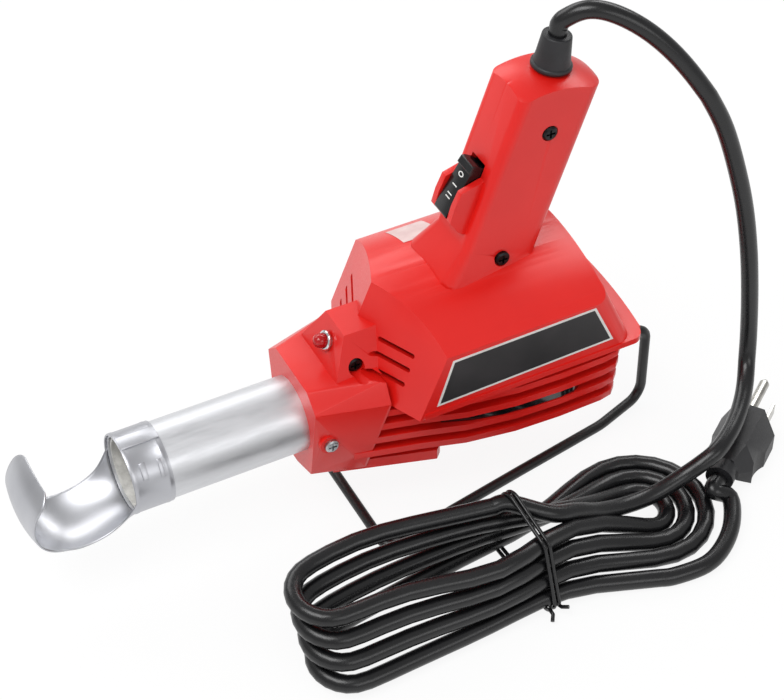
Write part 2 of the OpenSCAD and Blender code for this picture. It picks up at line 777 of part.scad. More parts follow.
// Tapered boot with grip rings, and the lead inside the handle
module strain_relief() {
    color("black") placed() at_butt() difference() {
        union() {
            translate([0, 0, -boot_in]) cylinder(r = neck_r, h = boot_in + 2, $fn = 64);
            translate([0, 0, 0.3]) cylinder(r = boot_r, h = 2.2, $fn = 64);
            translate([0, 0, 2.4])
                cylinder(r1 = boot_r - 0.8, r2 = boot_top_r, h = boot_len - 2.4, $fn = 64);
            translate([0, 0, -boot_in - 2]) cylinder(r = neck_r + 1.5, h = 2, $fn = 64);
        }
        translate([0, 0, -40]) cylinder(r = lead_d / 2 + 0.05, h = 80, $fn = 64);
    }
}
stub_in = 15;
core_r = 1;
terminal_w = 36;
terminal_h = 13.9;
core_gap = 4;
stub_u = butt_u + (butt_crown - stub_in) * sin(butt_tilt);
stub_w = butt_mid_w + (butt_crown - stub_in) * cos(butt_tilt);
core_low = terminal_w + terminal_h + 3;
core_rise = stub_w - core_low;
function core_path(k) = [[stub_u, 0.53 * k, stub_w + 1], [stub_u - 2, 0.55 * k, stub_w - 1.5],
    [-27.5, 0.65 * k, core_low + 0.8 * core_rise], [-31, 0.85 * k, core_low + 0.56 * core_rise],
    [-33.4, k, core_low + 0.22 * core_rise], [terminal_u + 2.5, k, core_low],
    [terminal_u + 2.5, k, core_low - 6]];
module inner_lead() {
    color("black") placed() {
        at_butt() translate([0, 0, -stub_in]) cylinder(d = lead_d, h = stub_in + boot_len, $fn = 64);
        in_handle()
            for (k = [-core_gap, 0, core_gap])
                tube(core_path(k), core_r, 6);
    }
}
module cord_clamp() {
    reach = half_w - wall - 0.1;
    color("dimgray") placed() at_butt() difference() {
        translate([-9, -reach, -stub_in + 1]) cube([18, 2 * reach, 4]);
        translate([0, 0, -20]) cylinder(r = lead_d / 2 + 0.03, h = 40, $fn = 64);
    }
}
module terminal_block() {
    color("ivory") placed() in_handle() translate([terminal_u, -6, terminal_w]) difference() {
        cube([5, 12, terminal_h]);
        for (k = [-core_gap, 0, core_gap])
            translate([2.5, 6 + k, -1]) cylinder(r = core_r + 0.1, h = 20, $fn = 24);
    }
}

// Blower: drum with an outlet duct, its lid, and the wheel on the motor's shaft
module drum_solid(cut) {
    translate([-blower_x, 0, drum_low + cut]) cylinder(r = drum_r - cut, h = drum_h - cut, $fn = 160);
    translate([-blower_x, -duct_half + cut, drum_low + cut])
        cube([blower_x - duct_front - 0.2, 2 * (duct_half - cut), drum_h - cut]);
}
module blower_drum() {
    color("black") placed() difference() {
        union() {
            drum_solid(0);
            translate([0, 0, rim_low]) linear_extrude(drum_top - rim_low) rim(0);
        }
        difference() {
            drum_solid(drum_wall);
            translate([-200, -60, drum_top - lid_t]) cube([400, 120, 10]);
        }
        translate([-blower_x, 0, drum_top - lid_t - seat])
            cylinder(r = drum_r - drum_wall, h = 10, $fn = 160);
        translate([-duct_front - 5, -duct_half + drum_wall, drum_low + drum_wall])
            cube([20, 2 * (duct_half - drum_wall), drum_h - drum_wall - lid_t]);
    }
}
module drum_lid() {
    color("black") placed() translate([-blower_x, 0, drum_top - lid_t]) difference() {
        cylinder(r = drum_r - drum_wall - seat, h = lid_t, $fn = 160);
        translate([0, 0, -1]) cylinder(r = inlet_r, h = 5);
    }
}
wheel_low = drum_low + drum_wall + 0.8;
wheel_h = drum_h - drum_wall - lid_t - 1.6;
module fan_wheel() {
    color("gray") placed() translate([-blower_x, 0, wheel_low]) difference() {
        union() {
            cylinder(r = fan_r, h = 1);
            cylinder(r = 6, h = wheel_h);
            for (i = [0:fan_blades - 1])
                rotate([0, 0, i * 360 / fan_blades])
                    translate([fan_r - 12, -0.5, 0]) cube([11.5, 1, wheel_h]);
        }
        translate([0, 0, -1]) cylinder(r = shaft_d / 2, h = 30, $fn = 48);
    }
}
shaft_low = wheel_low;
shaft_high = motor_z + motor_len + 2;
module motor_shaft() {
    color("silver") placed() translate([-blower_x, 0, shaft_low])
        cylinder(d = shaft_d, h = shaft_high - shaft_low, $fn = 48);
}
rotor_low = 8;
rotor_h = 16;
module rotor() {
    color("peru") placed() translate([-blower_x, 0, motor_z + rotor_low]) difference() {
        union() {
            cylinder(r = motor_r - 7, h = rotor_h, $fn = 64);
            translate([0, 0, rotor_h]) cylinder(r = 5, h = 5, $fn = 48);
        }
        translate([0, 0, -1]) cylinder(r = shaft_d / 2, h = 40, $fn = 48);
    }
}
bush_r = 4;
module motor_can() {
    color("lightgray") placed() translate([-blower_x, 0, motor_z]) difference() {
        cylinder(r = motor_r, h = motor_len);
        translate([0, 0, 1.5]) cylinder(r = motor_r - 1.5, h = motor_len);
        translate([0, 0, -1]) cylinder(r = bush_r + seat, h = 10, $fn = 48);
    }
}
module motor_cap() {
    color("ivory") placed() translate([-blower_x, 0, motor_z + motor_len - 2.4]) difference() {
        union() {
            cylinder(r = motor_r - 1.5 - seat, h = 2.4);
            translate([0, 0, -2]) cylinder(r = bush_r + 2, h = 4, $fn = 48);
        }
        translate([0, 0, -5]) cylinder(r = bush_r + seat, h = 12, $fn = 48);
    }
}
module bearings() {
    color("darkgoldenrod") placed()
        for (z = [motor_z, motor_z + motor_len - 4.4])
            translate([-blower_x, 0, z]) difference() {
                cylinder(r = bush_r, h = 4, $fn = 48);
                translate([0, 0, -1]) cylinder(r = shaft_d / 2 + run_fit, h = 8, $fn = 48);
            }
}

// Wire stand on a bracket at the back of the housing
pivot_x = -158;
pivot_z = -7;
wire_r = wire_d / 2;
bracket_half = 12;
bracket_front = -148;
module stand_bracket() {
    color("black") placed() difference() {
        union() {
            translate([pivot_x, -bracket_half, pivot_z - 5])
                cube([bracket_front - pivot_x, 2 * bracket_half, 10]);
            translate([pivot_x, 0, pivot_z]) rotate([90, 0, 0])
                cylinder(r = 5, h = 2 * bracket_half, center = true, $fn = 64);
        }
        for (s = [-1, 1])
            translate([pivot_x, s * (bracket_half + 1), pivot_z]) rotate([90 * s, 0, 0])
                cylinder(r = wire_r + run_fit, h = 9.2, $fn = 64);
    }
}
module stand_seat_cut() {
    translate([bracket_front - 20, -bracket_half - seat, pivot_z - 5 - seat])
        cube([20, 2 * (bracket_half + seat), 10 + 2 * seat]);
}

// Path through corner points, each corner an arc of its own radius
function corner(a, b, c, r) = let (u = unit(a - b), v = unit(c - b), h = acos(u * v) / 2,
        mid = b + unit(u + v) * r / sin(h), s = unit(b + u * r / tan(h) - mid),
        e = unit(b + v * r / tan(h) - mid), w = 180 - 2 * h, n = max(2, ceil(w / 15)))
    [for (i = [0:n]) mid + r * (sin((1 - i / n) * w) * s + sin(i / n * w) * e) / sin(w)];
function bent(p, r) = let (n = len(p))
    concat([p[0]], [for (i = [1:n - 2]) each corner(p[i - 1], p[i], p[i + 1], r[i - 1])], [p[n - 1]]);
leg_z = -axis_h + wire_r;
leg = [[-stand_back, arm_half + 0.5], [-stand_back + 27.5, 28], [-97, 36.5], [-56.5, 44],
    [-stand_front, stand_half]];
half_wire = concat([[pivot_x, bracket_half + 0.6, pivot_z], [pivot_x, arm_half, pivot_z],
    [-stand_back, arm_half, pivot_z]], [for (q = leg) [q[0], q[1], leg_z]]);
bends = [5, 6, 8, 40, 60, 60, 6];
module stand_wire() {
    n = len(half_wire);
    other = [for (i = [n - 1:-1:0]) [half_wire[i][0], -half_wire[i][1], half_wire[i][2]]];
    color("black") placed() {
        tube(bent(concat(half_wire, other), concat(bends, [for (i = [6:-1:0]) bends[i]])),
            wire_r - seat, 10);
        for (s = [-1, 1])
            translate([pivot_x, s * (bracket_half - 7.5), pivot_z]) rotate([-90 * s, 0, 0])
                cylinder(r = wire_r, h = 9, $fn = 64);
    }
}

// Bare plates where the tool carries its labels
label = [[-48.7, 19.9], [-56.1, 43.7], [-126.6, 44.8], [-136.9, 22.3]];
label_t = 0.3;
module side_label() {
    color("black") placed() translate([0, cover_half + label_t, 0]) rotate([90, 0, 0])
        linear_extrude(label_t) polygon(label);
}
module top_sticker() {
    color("mistyrose") placed() intersection() {
        translate([-74, 0, crown_z - arch_r]) rotate([0, 90, 0]) difference() {
            cylinder(r = arch_r + 0.2, h = 18, center = true, $fn = 256);
            cylinder(r = arch_r, h = 60, center = true, $fn = 256);
        }
        translate([-90, -37, 40]) cube([60, 17.8, 40]);
    }
}

// Heights above the table of what lies on it
table = -axis_h;
lead_r = lead_d / 2;

// The free lead: out of the boot, over the top, down to the table and on to the hank
lead_high = [[-127.5, 1, 220.5], [-131, 3, 225.5], [-136, 6, 228], [-142, 9.6, 227.4], [-149, 13.7, 224],
    [-157, 18.3, 218.6], [-165.5, 23.3, 210.2], [-175, 29, 197.5], [-182.7, 33.5, 183], [-189, 37.3, 168],
    [-195, 40.8, 147], [-200, 43.6, 125], [-203.8, 45.9, 100], [-206.4, 47.4, 75], [-207.8, 48.8, 52],
    [-206, 52.5, 39], [-200.5, 60.5, 32.5], [-193, 69, 30.2], [-185, 76.4, 29.4], [-177, 82.4, 29],
    [-168.5, 86.9, 27.8], [-161, 87.4, 24.2], [-151.5, 86.4, 18.8], [-136.5, 86.4, 14.4],
    [-121.2, 87.2, 15.6], [-106.6, 89, 21], [-93.5, 90.3, 28.4], [-80, 90.6, 34]];
// The plug lies on the table, its lead outside the hank's loops
plug_end = [-169.5, 90, 12.2];
plug_dir = [-0.8, -0.6, 0];

// The hank: loops that lie side by side at one end and pile up at the other
hank_len = 156;
fold_right = 39;
fold_left = 15;
waist_half = 18;
waist_u = 66;
hank_step = 9.2;
hank_lean = 5;
hank_turn = 6.5;
hank_at = [-131.5, 85.3];
hank_start = 0.04;
hank_end = 3.62;
hank_rings = 32;
hank_fine = 3;
tie_lift = 2.4;
function run_half(u) = let (b = u < waist_u ? fold_right : fold_left,
        far = u < waist_u ? waist_u : hank_len - waist_u)
    waist_half + (b - waist_half) * ease(abs(u - waist_u) / far);
function run_slope(u) = (run_half(u + 0.1) - run_half(u - 0.1)) / 0.2;
function pile(u) = 90 * ease(1.7 * u / hank_len);
function loop_at(g) = g < 0.25 ? let (u = hank_len * g / 0.25, m = run_slope(u)) [u, run_half(u), -m, 1]
    : g < 0.5 ? let (a = 180 * (g - 0.25) / 0.25)
        [hank_len + fold_left * sin(a), fold_left * cos(a), sin(a), cos(a)]
    : g < 0.75 ? let (u = hank_len * (1 - (g - 0.5) / 0.25), m = run_slope(u)) [u, -run_half(u), -m, -1]
    : let (a = 180 * (g - 0.75) / 0.25) [-fold_right * sin(a), -fold_right * cos(a), -sin(a), -cos(a)];
function on_hank(u, v, z) = [hank_at[0] + u * cos(hank_turn) - v * sin(hank_turn),
    hank_at[1] + u * sin(hank_turn) + v * cos(hank_turn), table + z];
function hank_pt(t) = let (b = loop_at(t - floor(t)), n = norm([b[2], b[3]]), a = pile(b[0]),
        off = -hank_step * t * cos(a), lean = hank_lean * t * ease((b[0] - waist_u - 10) / 60))
    on_hank(b[0] + off * b[2] / n, b[1] + off * b[3] / n - lean,
        lead_r + seat + hank_step * t * sin(a) + tie_lift * (1 - ease(abs(b[0] - waist_u) / 45)));
function relaxed(p, k) = k == 0 ? p
    : relaxed([for (i = [0:len(p) - 1]) i == 0 || i == len(p) - 1 ? p[i]
        : (p[i - 1] + 2 * p[i] + p[i + 1]) / 4], k - 1);
hank_n = ceil((hank_end - hank_start) * hank_rings);
hank_curve = relaxed([for (i = [0:hank_n * hank_fine])
    hank_pt(hank_start + (hank_end - hank_start) * i / (hank_n * hank_fine))], 8);
hank = [for (i = [0:hank_n]) hank_curve[i * hank_fine]];
hank_back = hank[0] - lead_d * unit(hank[1] - hank[0]);
hank_in = [hank_back[0], hank_back[1], max(hank_back[2], table + lead_r + seat)];
hank_out = hank[hank_n] + lead_d * unit(hank[hank_n] - hank[hank_n - 1]);
hank_points = concat([hank_in], hank, [hank_out]);

function on_table(p) = [p[0], p[1], p[2] - axis_h];
boot_out = let (b = butt_tilt - rake, top = butt_crown + boot_len)
    [handle_x + butt_u * cos(rake) - butt_mid_w * sin(rake) + top * sin(b), 0,
        handle_z + butt_u * sin(rake) + butt_mid_w * cos(rake) + top * cos(b)];
boot_up = [sin(butt_tilt - rake), 0, cos(butt_tilt - rake)];
lead_points = concat([boot_out, boot_out + lead_d * boot_up], [for (p = lead_high) on_table(p)],
    [hank_out + 0.9 * lead_d * unit(hank_out - hank[hank_n]), hank_out]);
plug_bend = fold_right + 1.8;
plug_points = concat([on_table(plug_end), on_table(plug_end) - lead_d * plug_dir],
    [for (a = [64, 44, 24, 6]) on_hank(-plug_bend * sin(a), plug_bend * cos(a), lead_r + 0.1 + a * a / 1100)],
    [hank_in - 0.9 * lead_d * unit([hank[0][0] - hank_in[0], hank[0][1] - hank_in[1], 0]), hank_in]);

// Smooth curve through the points, cut into equal steps
function spline(a, b, c, d, t) = 0.5 * ((2 * b) + (c - a) * t + (2 * a - 5 * b + 4 * c - d) * t * t
    + (3 * b - a - 3 * c + d) * t * t * t);
function smooth(p, k) = let (n = len(p)) concat([for (i = [0:n - 2], j = [0:k - 1])
    spline(p[max(i - 1, 0)], p[i], p[i + 1], p[min(i + 2, n - 1)], j / k)], [p[n - 1]]);
module power_lead() { color("black") placed() tube(smooth(lead_points, 3), lead_r, 8); }
module plug_lead() { color("black") placed() tube(smooth(plug_points, 2), lead_r, 8); }
module lead_hank() { color("black") placed() tube(hank_points, lead_r, 6); }
function path_len(p) = let (d = [for (i = [1:len(p) - 1]) norm(p[i] - p[i - 1])]) d * [for (x = d) 1];
gap = min([for (i = [0:hank_n], j = [i + 6:1:hank_n]) norm(hank[i] - hank[j])]) - lead_d;
echo(hank_length = path_len(hank_points), free_length = path_len(smooth(lead_points, 3)),
    plug_lead_length = path_len(smooth(plug_points, 2)), hank_gap = gap);

// Wire tie, twice round everything that passes the waist, its two ends sticking out low down
tie_r = 0.9;
tie_turns = 2;
tie_steps = 24;
tie_pitch = 2.3;
tie_start = -28;
function in_hank(p) = let (d = [p[0] - hank_at[0], p[1] - hank_at[1]])
    [d[0] * cos(hank_turn) + d[1] * sin(hank_turn), d[1] * cos(hank_turn) - d[0] * sin(hank_turn),
        p[2] - table];
function waist_cuts(path) = [for (i = [1:len(path) - 1])
    let (a = in_hank(path[i - 1]), b = in_hank(path[i]), k = (waist_u - a[0]) / (b[0] - a[0]))
        if (k >= 0 && k < 1) [a[1] + k * (b[1] - a[1]), a[2] + k * (b[2] - a[2])]];
strands = concat(waist_cuts(hank), waist_cuts(smooth(lead_points, 3)));
strand_mid = [for (k = [0, 1]) (max([for (q = strands) q[k]]) + min([for (q = strands) q[k]])) / 2];
function reach(a) = max([for (q = strands) (q - strand_mid) * [cos(a), sin(a)]]) + lead_r + tie_r + 0.2;
function tie_at(a) = strand_mid + reach(a) * [cos(a), sin(a)]
    + (reach(a + 1) - reach(a - 1)) * 90 / PI * [-sin(a), cos(a)];
tie_wraps = [for (i = [0:tie_turns * tie_steps]) let (q = tie_at(tie_start + 360 * i / tie_steps))
    on_hank(waist_u + tie_pitch * (i / tie_steps - tie_turns / 2), q[0], q[1])];
module hank_tie() {
    low = tie_at(tie_start);
    tails = [for (s = [-1, 1]) [for (k = [2, 1])
        on_hank(waist_u + tie_pitch * s + s * (k - 1) * 2, low[0] + 2.4 * k, max(low[1] - s * k, 1.2))]];
    color("black") placed()
        tube(concat(tails[0], tie_wraps, [tails[1][1], tails[1][0]]), tie_r, 6);
}

// The plug at the lead's far end
plug_len = 40;
plug_r = 12;
module at_plug() {
    translate(on_table(plug_end))
        rotate([0, 0, atan2(plug_dir[1], plug_dir[0])])
            rotate([0, 90, 0]) children();
}
plug_half = 13;
plug_top = 11;
plug_grip = 15;
plug_neck = 12;
function plug_face(k) = [for (p = [[plug_r, -plug_half], [plug_r, plug_half], [3, plug_half],
    [-plug_top, plug_half / 2], [-plug_top, -plug_half / 2], [3, -plug_half]]) p * k];
module plug_body() {
    color("black") placed() at_plug() {
        cylinder(r1 = lead_r + 1.2, r2 = lead_r + 1.8, h = plug_neck, $fn = 64);
        cylinder(r = lead_r + 2.6, h = 3, $fn = 64);
        difference() {
            union() {
                hull() {
                    translate([0, 0, plug_neck - 4]) linear_extrude(1) polygon(plug_face(0.5));
                    translate([0, 0, plug_neck + 3]) linear_extrude(1) polygon(plug_face(1));
                }
                translate([0, 0, plug_neck + 4 - eps])
                    linear_extrude(plug_len - plug_neck - 4 + eps) polygon(plug_face(1));
            }
            for (s = [-1, 1])
                translate([-20, s * (plug_half + plug_grip - 2.4), plug_neck + 7]) rotate([0, 90, 0])
                    cylinder(r = plug_grip, h = 40, $fn = 96);
        }
    }
}
blade_gap = 12.7;
blade_w = 6.3;
blade_t = 1.5;
blade_len = 17.5;
blade_down = 3.9;
module plug_blades() {
    color("gold") placed() at_plug()
        for (s = [-1, 1])
            translate([blade_down - blade_w / 2, (s * blade_gap - blade_t) / 2, plug_len])
                cube([blade_w, blade_t, blade_len]);
}
ground_d = 4.8;
ground_len = 19;
ground_up = 8;
module ground_pin() {
    color("gold") placed() at_plug() translate([-ground_up, 0, plug_len]) {
        cylinder(d = ground_d, h = ground_len, $fn = 48);
        translate([0, 0, ground_len - eps]) cylinder(d1 = ground_d, d2 = ground_d / 2, h = 2, $fn = 48);
    }
}

left_housing();
right_housing();
housing_screws();
block_screw();
barrel_tube();
barrel_clamp();
heat_liner();
heater_former();
heater_coil();
thermal_cutout();
reflector();
lamp_bezel();
lamp_lens();
lamp_body();
rocker();
switch_body();
strain_relief();
inner_lead();
cord_clamp();
terminal_block();
blower_drum();
drum_lid();
fan_wheel();
motor_shaft();
rotor();
motor_can();
motor_cap();
bearings();
stand_wire();
stand_bracket();
side_label();
top_sticker();
power_lead();
lead_hank();
plug_lead();
hank_tie();
plug_body();
plug_blades();
ground_pin();
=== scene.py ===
# %% [markdown]
# # A hot air embossing tool
# A blower in a red moulded housing pushes air through a heater barrel. A sheet metal spoon on the
# barrel turns the air back round the work. The tool stands on a folding wire, and its lead lies
# folded in a hank. The frame holds the engineering solids. This lesson gives them their looks.

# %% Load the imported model
import json
import math
import bmesh
import bpy
from mathutils import Matrix, Vector


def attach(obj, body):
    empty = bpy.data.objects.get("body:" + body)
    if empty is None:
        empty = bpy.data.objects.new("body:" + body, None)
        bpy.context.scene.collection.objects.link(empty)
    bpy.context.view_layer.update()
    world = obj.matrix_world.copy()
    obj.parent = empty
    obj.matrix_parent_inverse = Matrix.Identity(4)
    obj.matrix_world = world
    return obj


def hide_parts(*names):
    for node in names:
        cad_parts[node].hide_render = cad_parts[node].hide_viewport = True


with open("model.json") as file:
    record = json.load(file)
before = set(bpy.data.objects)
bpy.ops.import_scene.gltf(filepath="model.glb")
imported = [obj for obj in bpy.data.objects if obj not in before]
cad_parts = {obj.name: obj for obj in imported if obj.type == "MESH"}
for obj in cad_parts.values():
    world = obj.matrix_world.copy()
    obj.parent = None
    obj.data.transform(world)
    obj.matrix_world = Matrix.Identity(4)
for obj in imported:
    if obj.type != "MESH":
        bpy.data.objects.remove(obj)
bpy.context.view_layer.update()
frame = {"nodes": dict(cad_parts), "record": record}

BODY = {node: body for body, nodes in frame["record"]["behaviour"]["bodies"].items() for node in nodes}

# %% [markdown]
# ## Millimetres, and places on the tool
# The tool is drawn in millimetres from the barrel's axis at the front of its block: X out of the
# nozzle, Y to its left side, Z up. One matrix takes such a mesh to the frame, in metres. The
# handle leans back, and the cord boot, the rocker and the lamp lean again, so each has a matrix
# of its own and is drawn upright. That keeps the numbers plain.

# %% Places
MID_X = -22.675
AXIS_H = 52.0
PLACE = Matrix.Translation((-MID_X / 1000, 0, AXIS_H / 1000)) @ Matrix.Scale(0.001, 4)


def shift(x, y, z):
    return Matrix.Translation((x, y, z))


def turn(axis, degrees):
    return Matrix.Rotation(math.radians(degrees), 4, axis)


RAKE = 19.1
BUTT_TILT = 10.9
ROCKER_TILT = 12.7
LAMP_TILT = 23.0
HANDLE_ROOT = (-75.7, 0, 67)
BUTT_AT, BUTT_CROWN = (-20, 0, 86.45), 4.6
ROCKER_AT = (-6, 0, 28.5)
LAMP_AT = (-18, 0, 35.8)
HANDLE = shift(*HANDLE_ROOT) @ turn("Y", -RAKE)
BUTT = HANDLE @ shift(*BUTT_AT) @ turn("Y", BUTT_TILT) @ shift(0, 0, BUTT_CROWN)
ROCKER = HANDLE @ shift(*ROCKER_AT) @ turn("Y", -ROCKER_TILT)
LAMP = shift(*LAMP_AT) @ turn("Y", 90 - LAMP_TILT)
BARREL = turn("Y", 90)


def metres(p, place=Matrix.Identity(4)):
    return PLACE @ place @ Vector(p)


print("boot sits at", tuple(round(c, 4) for c in metres((0, 0, 0), BUTT)))

# %% [markdown]
# ## The camera
# It looks down on the tool from the front left, as the photograph does. The lens is long, so the
# barrel and the handle keep their true proportions.

# %% Camera
eye = Vector((0.3130, 0.6590, 0.7694))
look_at = Vector((-0.0308, -0.0081, 0.0600))
camera_data = bpy.data.cameras.new("camera")
camera_data.sensor_width = 36.0
camera_data.lens = 105.6
camera_data.clip_start = 0.01
camera = bpy.data.objects.new("camera", camera_data)
bpy.context.scene.collection.objects.link(camera)
camera.location = eye
camera.rotation_mode = "QUATERNION"
camera.rotation_quaternion = (look_at - eye).to_track_quat("-Z", "Y")
bpy.context.scene.camera = camera
print("camera is", round((look_at - eye).length, 3), "m away")

# %% [markdown]
# ## Colour and finish
# Colours are picked as sRGB hex values, as from a screen, and one function makes them linear for
# the shader. Most surfaces here are one moulded or drawn material with a slow change of tone and
# a fine relief, so one recipe with real millimetre sizes serves them. A small function adds a
# node with its settings and its links.


# %% Node helper and the shared recipe
def linear(hex_colour):
    parts = [int(hex_colour[i:i + 2], 16) / 255 for i in (0, 2, 4)]
    return [c / 12.92 if c <= 0.04045 else ((c + 0.055) / 1.055) ** 2.4 for c in parts] + [1.0]


def add(tree, kind, links=None, values=None, **settings):
    made = tree.nodes.new(kind)
    for key, value in settings.items():
        setattr(made, key, value)
    for key, value in (values or {}).items():
        made.inputs[key].default_value = value
    for key, source in (links or {}).items():
        tree.links.new(source, made.inputs[key])
    return made


TONE_STOPS = (0.35, 0.65)
GRAIN_LOW, GRAIN_HIGH = 0.3, 0.7
WHITE = linear("ffffff")


def finish(name, tones, rough, cloud_mm, grain_mm, relief_mm, metal=0.0, stretch=(1, 1, 1), **shader):
    """tones and rough are pairs: the darker and lighter colour, the lowest and highest roughness."""
    material = bpy.data.materials.new(name)
    material.use_nodes = True
    tree = material.node_tree
    tree.nodes.clear()
    where = add(tree, "ShaderNodeTexCoord")
    laid = add(tree, "ShaderNodeMapping", {"Vector": where.outputs["Object"]}, {"Scale": stretch})
    cloud = add(tree, "ShaderNodeTexNoise", {"Vector": laid.outputs[0]},
                {"Scale": 1000 / cloud_mm, "Detail": 3.0, "Roughness": 0.55})
    grain = add(tree, "ShaderNodeTexNoise", {"Vector": laid.outputs[0]},
                {"Scale": 1000 / grain_mm, "Detail": 3.0, "Roughness": 0.6})
    ramp = add(tree, "ShaderNodeValToRGB", {"Fac": cloud.outputs["Fac"]})
    for stop, place, tone in zip(ramp.color_ramp.elements, TONE_STOPS, tones):
        stop.position = place
        stop.color = linear(tone)
    spread = add(tree, "ShaderNodeMapRange", {"Value": grain.outputs["Fac"]},
                 {"From Min": GRAIN_LOW, "From Max": GRAIN_HIGH, "To Min": rough[0], "To Max": rough[1]})
    relief = add(tree, "ShaderNodeBump", {"Height": grain.outputs["Fac"]},
                 {"Strength": 1.0, "Distance": relief_mm / 1000})
    surface = add(tree, "ShaderNodeBsdfPrincipled",
                  {"Base Color": ramp.outputs["Color"], "Roughness": spread.outputs["Result"],
                   "Normal": relief.outputs["Normal"]}, {"Metallic": metal, **shader})
    add(tree, "ShaderNodeOutputMaterial", {"Surface": surface.outputs["BSDF"]})
    return material


print("white in linear light is", WHITE)

# %% [markdown]
# ## The materials by their real names
# The housing is ABS moulded in a spark-eroded tool: semi-gloss, with a fine texture that breaks
# the highlights. The real texture is too fine to show here, so it is drawn at about a millimetre.
# The barrel is drawn steel tube, dulled by heat, with streaks along it. The spoon is bright tinned
# sheet. Cord and boot are PVC, and the wire stand has a baked black coating. Each finish gives two
# tones, the span of its roughness, the sizes of its clouds and its grain, and the grain's height.

# %% Materials
red_abs = finish("red_abs_moulded", ("d0150f", "da1d16"), (0.28, 0.38), 60, 0.9, 0.010,
                 **{"IOR": 1.5})
drawn_steel = finish("drawn_steel_heat_dulled", ("cecfd2", "e0e1e4"), (0.4, 0.5), 14, 1.4, 0.004,
                     metal=1.0, stretch=(0.12, 1, 1))
tinned_sheet = finish("tinned_steel_sheet", ("babbc0", "cbccd0"), (0.36, 0.4), 40, 6, 0.0004,
                      metal=1.0, stretch=(0.5, 1, 1))
mica_board = finish("mica_board", ("b7ab97", "d6cdbb"), (0.6, 0.8), 5, 0.8, 0.05)
ceramic_fibre = finish("ceramic_fibre_liner", ("bdbcb8", "dddcd8"), (0.75, 0.9), 4, 0.6, 0.08)
heater_wire = finish("oxidised_nickel_chrome_wire", ("5c5148", "857668"), (0.4, 0.6), 3, 0.5, 0.01,
                     metal=1.0)
zinc_screw = finish("zinc_plated_screw", ("a2a4a6", "c9cbcd"), (0.22, 0.38), 4, 0.6, 0.006, metal=1.0)
black_screw = finish("black_oxide_screw", ("232324", "3a3a3b"), (0.35, 0.5), 4, 0.6, 0.006, metal=1.0)
black_nylon = finish("black_nylon_moulded", ("101011", "17171a"), (0.32, 0.45), 25, 0.7, 0.008)
rocker_black = finish("polished_black_polycarbonate", ("0b0b0c", "121214"), (0.16, 0.26), 20, 0.8,
                      0.003)
drum_black = finish("black_enamelled_drum", ("08080a", "0e0e11"), (0.08, 0.16), 30, 1.5, 0.003,
                    **{"Coat Weight": 0.6, "Coat Roughness": 0.06})
cord_pvc = finish("black_pvc_jacket", ("0b0b0d", "121214"), (0.25, 0.33), 24, 1.2, 0.004)
boot_pvc = finish("black_soft_pvc_boot", ("141416", "1d1d20"), (0.42, 0.55), 12, 0.7, 0.012)
wire_coat = finish("baked_black_wire_coating", ("0f0f10", "161617"), (0.36, 0.44), 30, 1.2, 0.002)
chrome = finish("chromed_brass_ring", ("c6c8ca", "dfe1e3"), (0.06, 0.14), 6, 1.0, 0.002, metal=1.0)
nickel = finish("nickel_plated_brass", ("a9a7a2", "c6c4be"), (0.2, 0.32), 6, 0.8, 0.003, metal=1.0)
copper_winding = finish("enamelled_copper", ("7d4425", "9c5c33"), (0.3, 0.45), 4, 0.6, 0.02, metal=1.0)
bronze_bush = finish("sintered_bronze", ("8a6a35", "a88546"), (0.35, 0.5), 3, 0.5, 0.01, metal=1.0)
pale_nylon = finish("natural_nylon", ("c4bfb2", "d9d5ca"), (0.4, 0.55), 10, 0.8, 0.01)
label_black = finish("printed_label_black", ("1a1719", "262224"), (0.3, 0.42), 20, 0.5, 0.003)
label_white = finish("printed_label_white", ("cfcdca", "dddbd8"), (0.3, 0.42), 20, 0.5, 0.003)
sticker = finish("clear_matt_sticker", ("cfb4b2", "dac4c1"), (0.4, 0.55), 8, 1.2, 0.02)
mark_white = finish("white_pad_print", ("d9d9d6", "e6e6e3"), (0.4, 0.5), 5, 0.5, 0.003)
print(len(bpy.data.materials), "materials")

# %% [markdown]
# ## The lamp's lens
# A small lamp sits behind a clear red cap. The cap is acrylic, so the shader lets a third of the
# light into it and tints it red. Its surface is nearly smooth: its upright flutes are modelled.

# %% Red acrylic
red_acrylic = finish("red_acrylic_lens", ("b50a12", "d4121b"), (0.08, 0.14), 5, 0.8, 0.01,
                     **{"IOR": 1.49, "Transmission Weight": 0.35})
print(red_acrylic.name)

# %% [markdown]
# ## Making a piece
# Every piece is drawn with bmesh, moved to its place in the mesh, and then rides on a body of
# the frame. The solids come in as loose triangles, which shade as facets, so a visible one is
# copied: its doubles are merged, flat areas are joined again, and a bevel rounds its edges as a
# mould or a press does.


# %% Piece, copy and lathe
MERGE_M = 0.000004
FLAT_DEGREES = 0.6


def soften(made, edge_mm, degrees, harden=True):
    soft = made.modifiers.new("soft_edges", "BEVEL")
    soft.width = edge_mm / 1000
    soft.segments = 2
    soft.limit_method = "ANGLE"
    soft.angle_limit = math.radians(degrees)
    soft.harden_normals = harden


def piece(name, bm, finishes, body="tool", place=Matrix.Identity(4), stands_for=(), edge_mm=0.0, sharp=35):
    bm.transform(PLACE @ place)
    mesh = bpy.data.meshes.new(name)
    bm.to_mesh(mesh)
    bm.free()
    return dress(bpy.data.objects.new(name, mesh), finishes, body, stands_for, edge_mm, sharp)


def dress(made, finishes, body, stands_for, edge_mm, sharp):
    bpy.context.scene.collection.objects.link(made)
    for finish_of in finishes:
        made.data.materials.append(finish_of)
    made.data.shade_smooth()
    made.data.set_sharp_from_angle(angle=math.radians(sharp))
    if edge_mm:
        soften(made, edge_mm, sharp)
    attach(made, body)
    if stands_for:
        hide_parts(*stands_for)
    return made


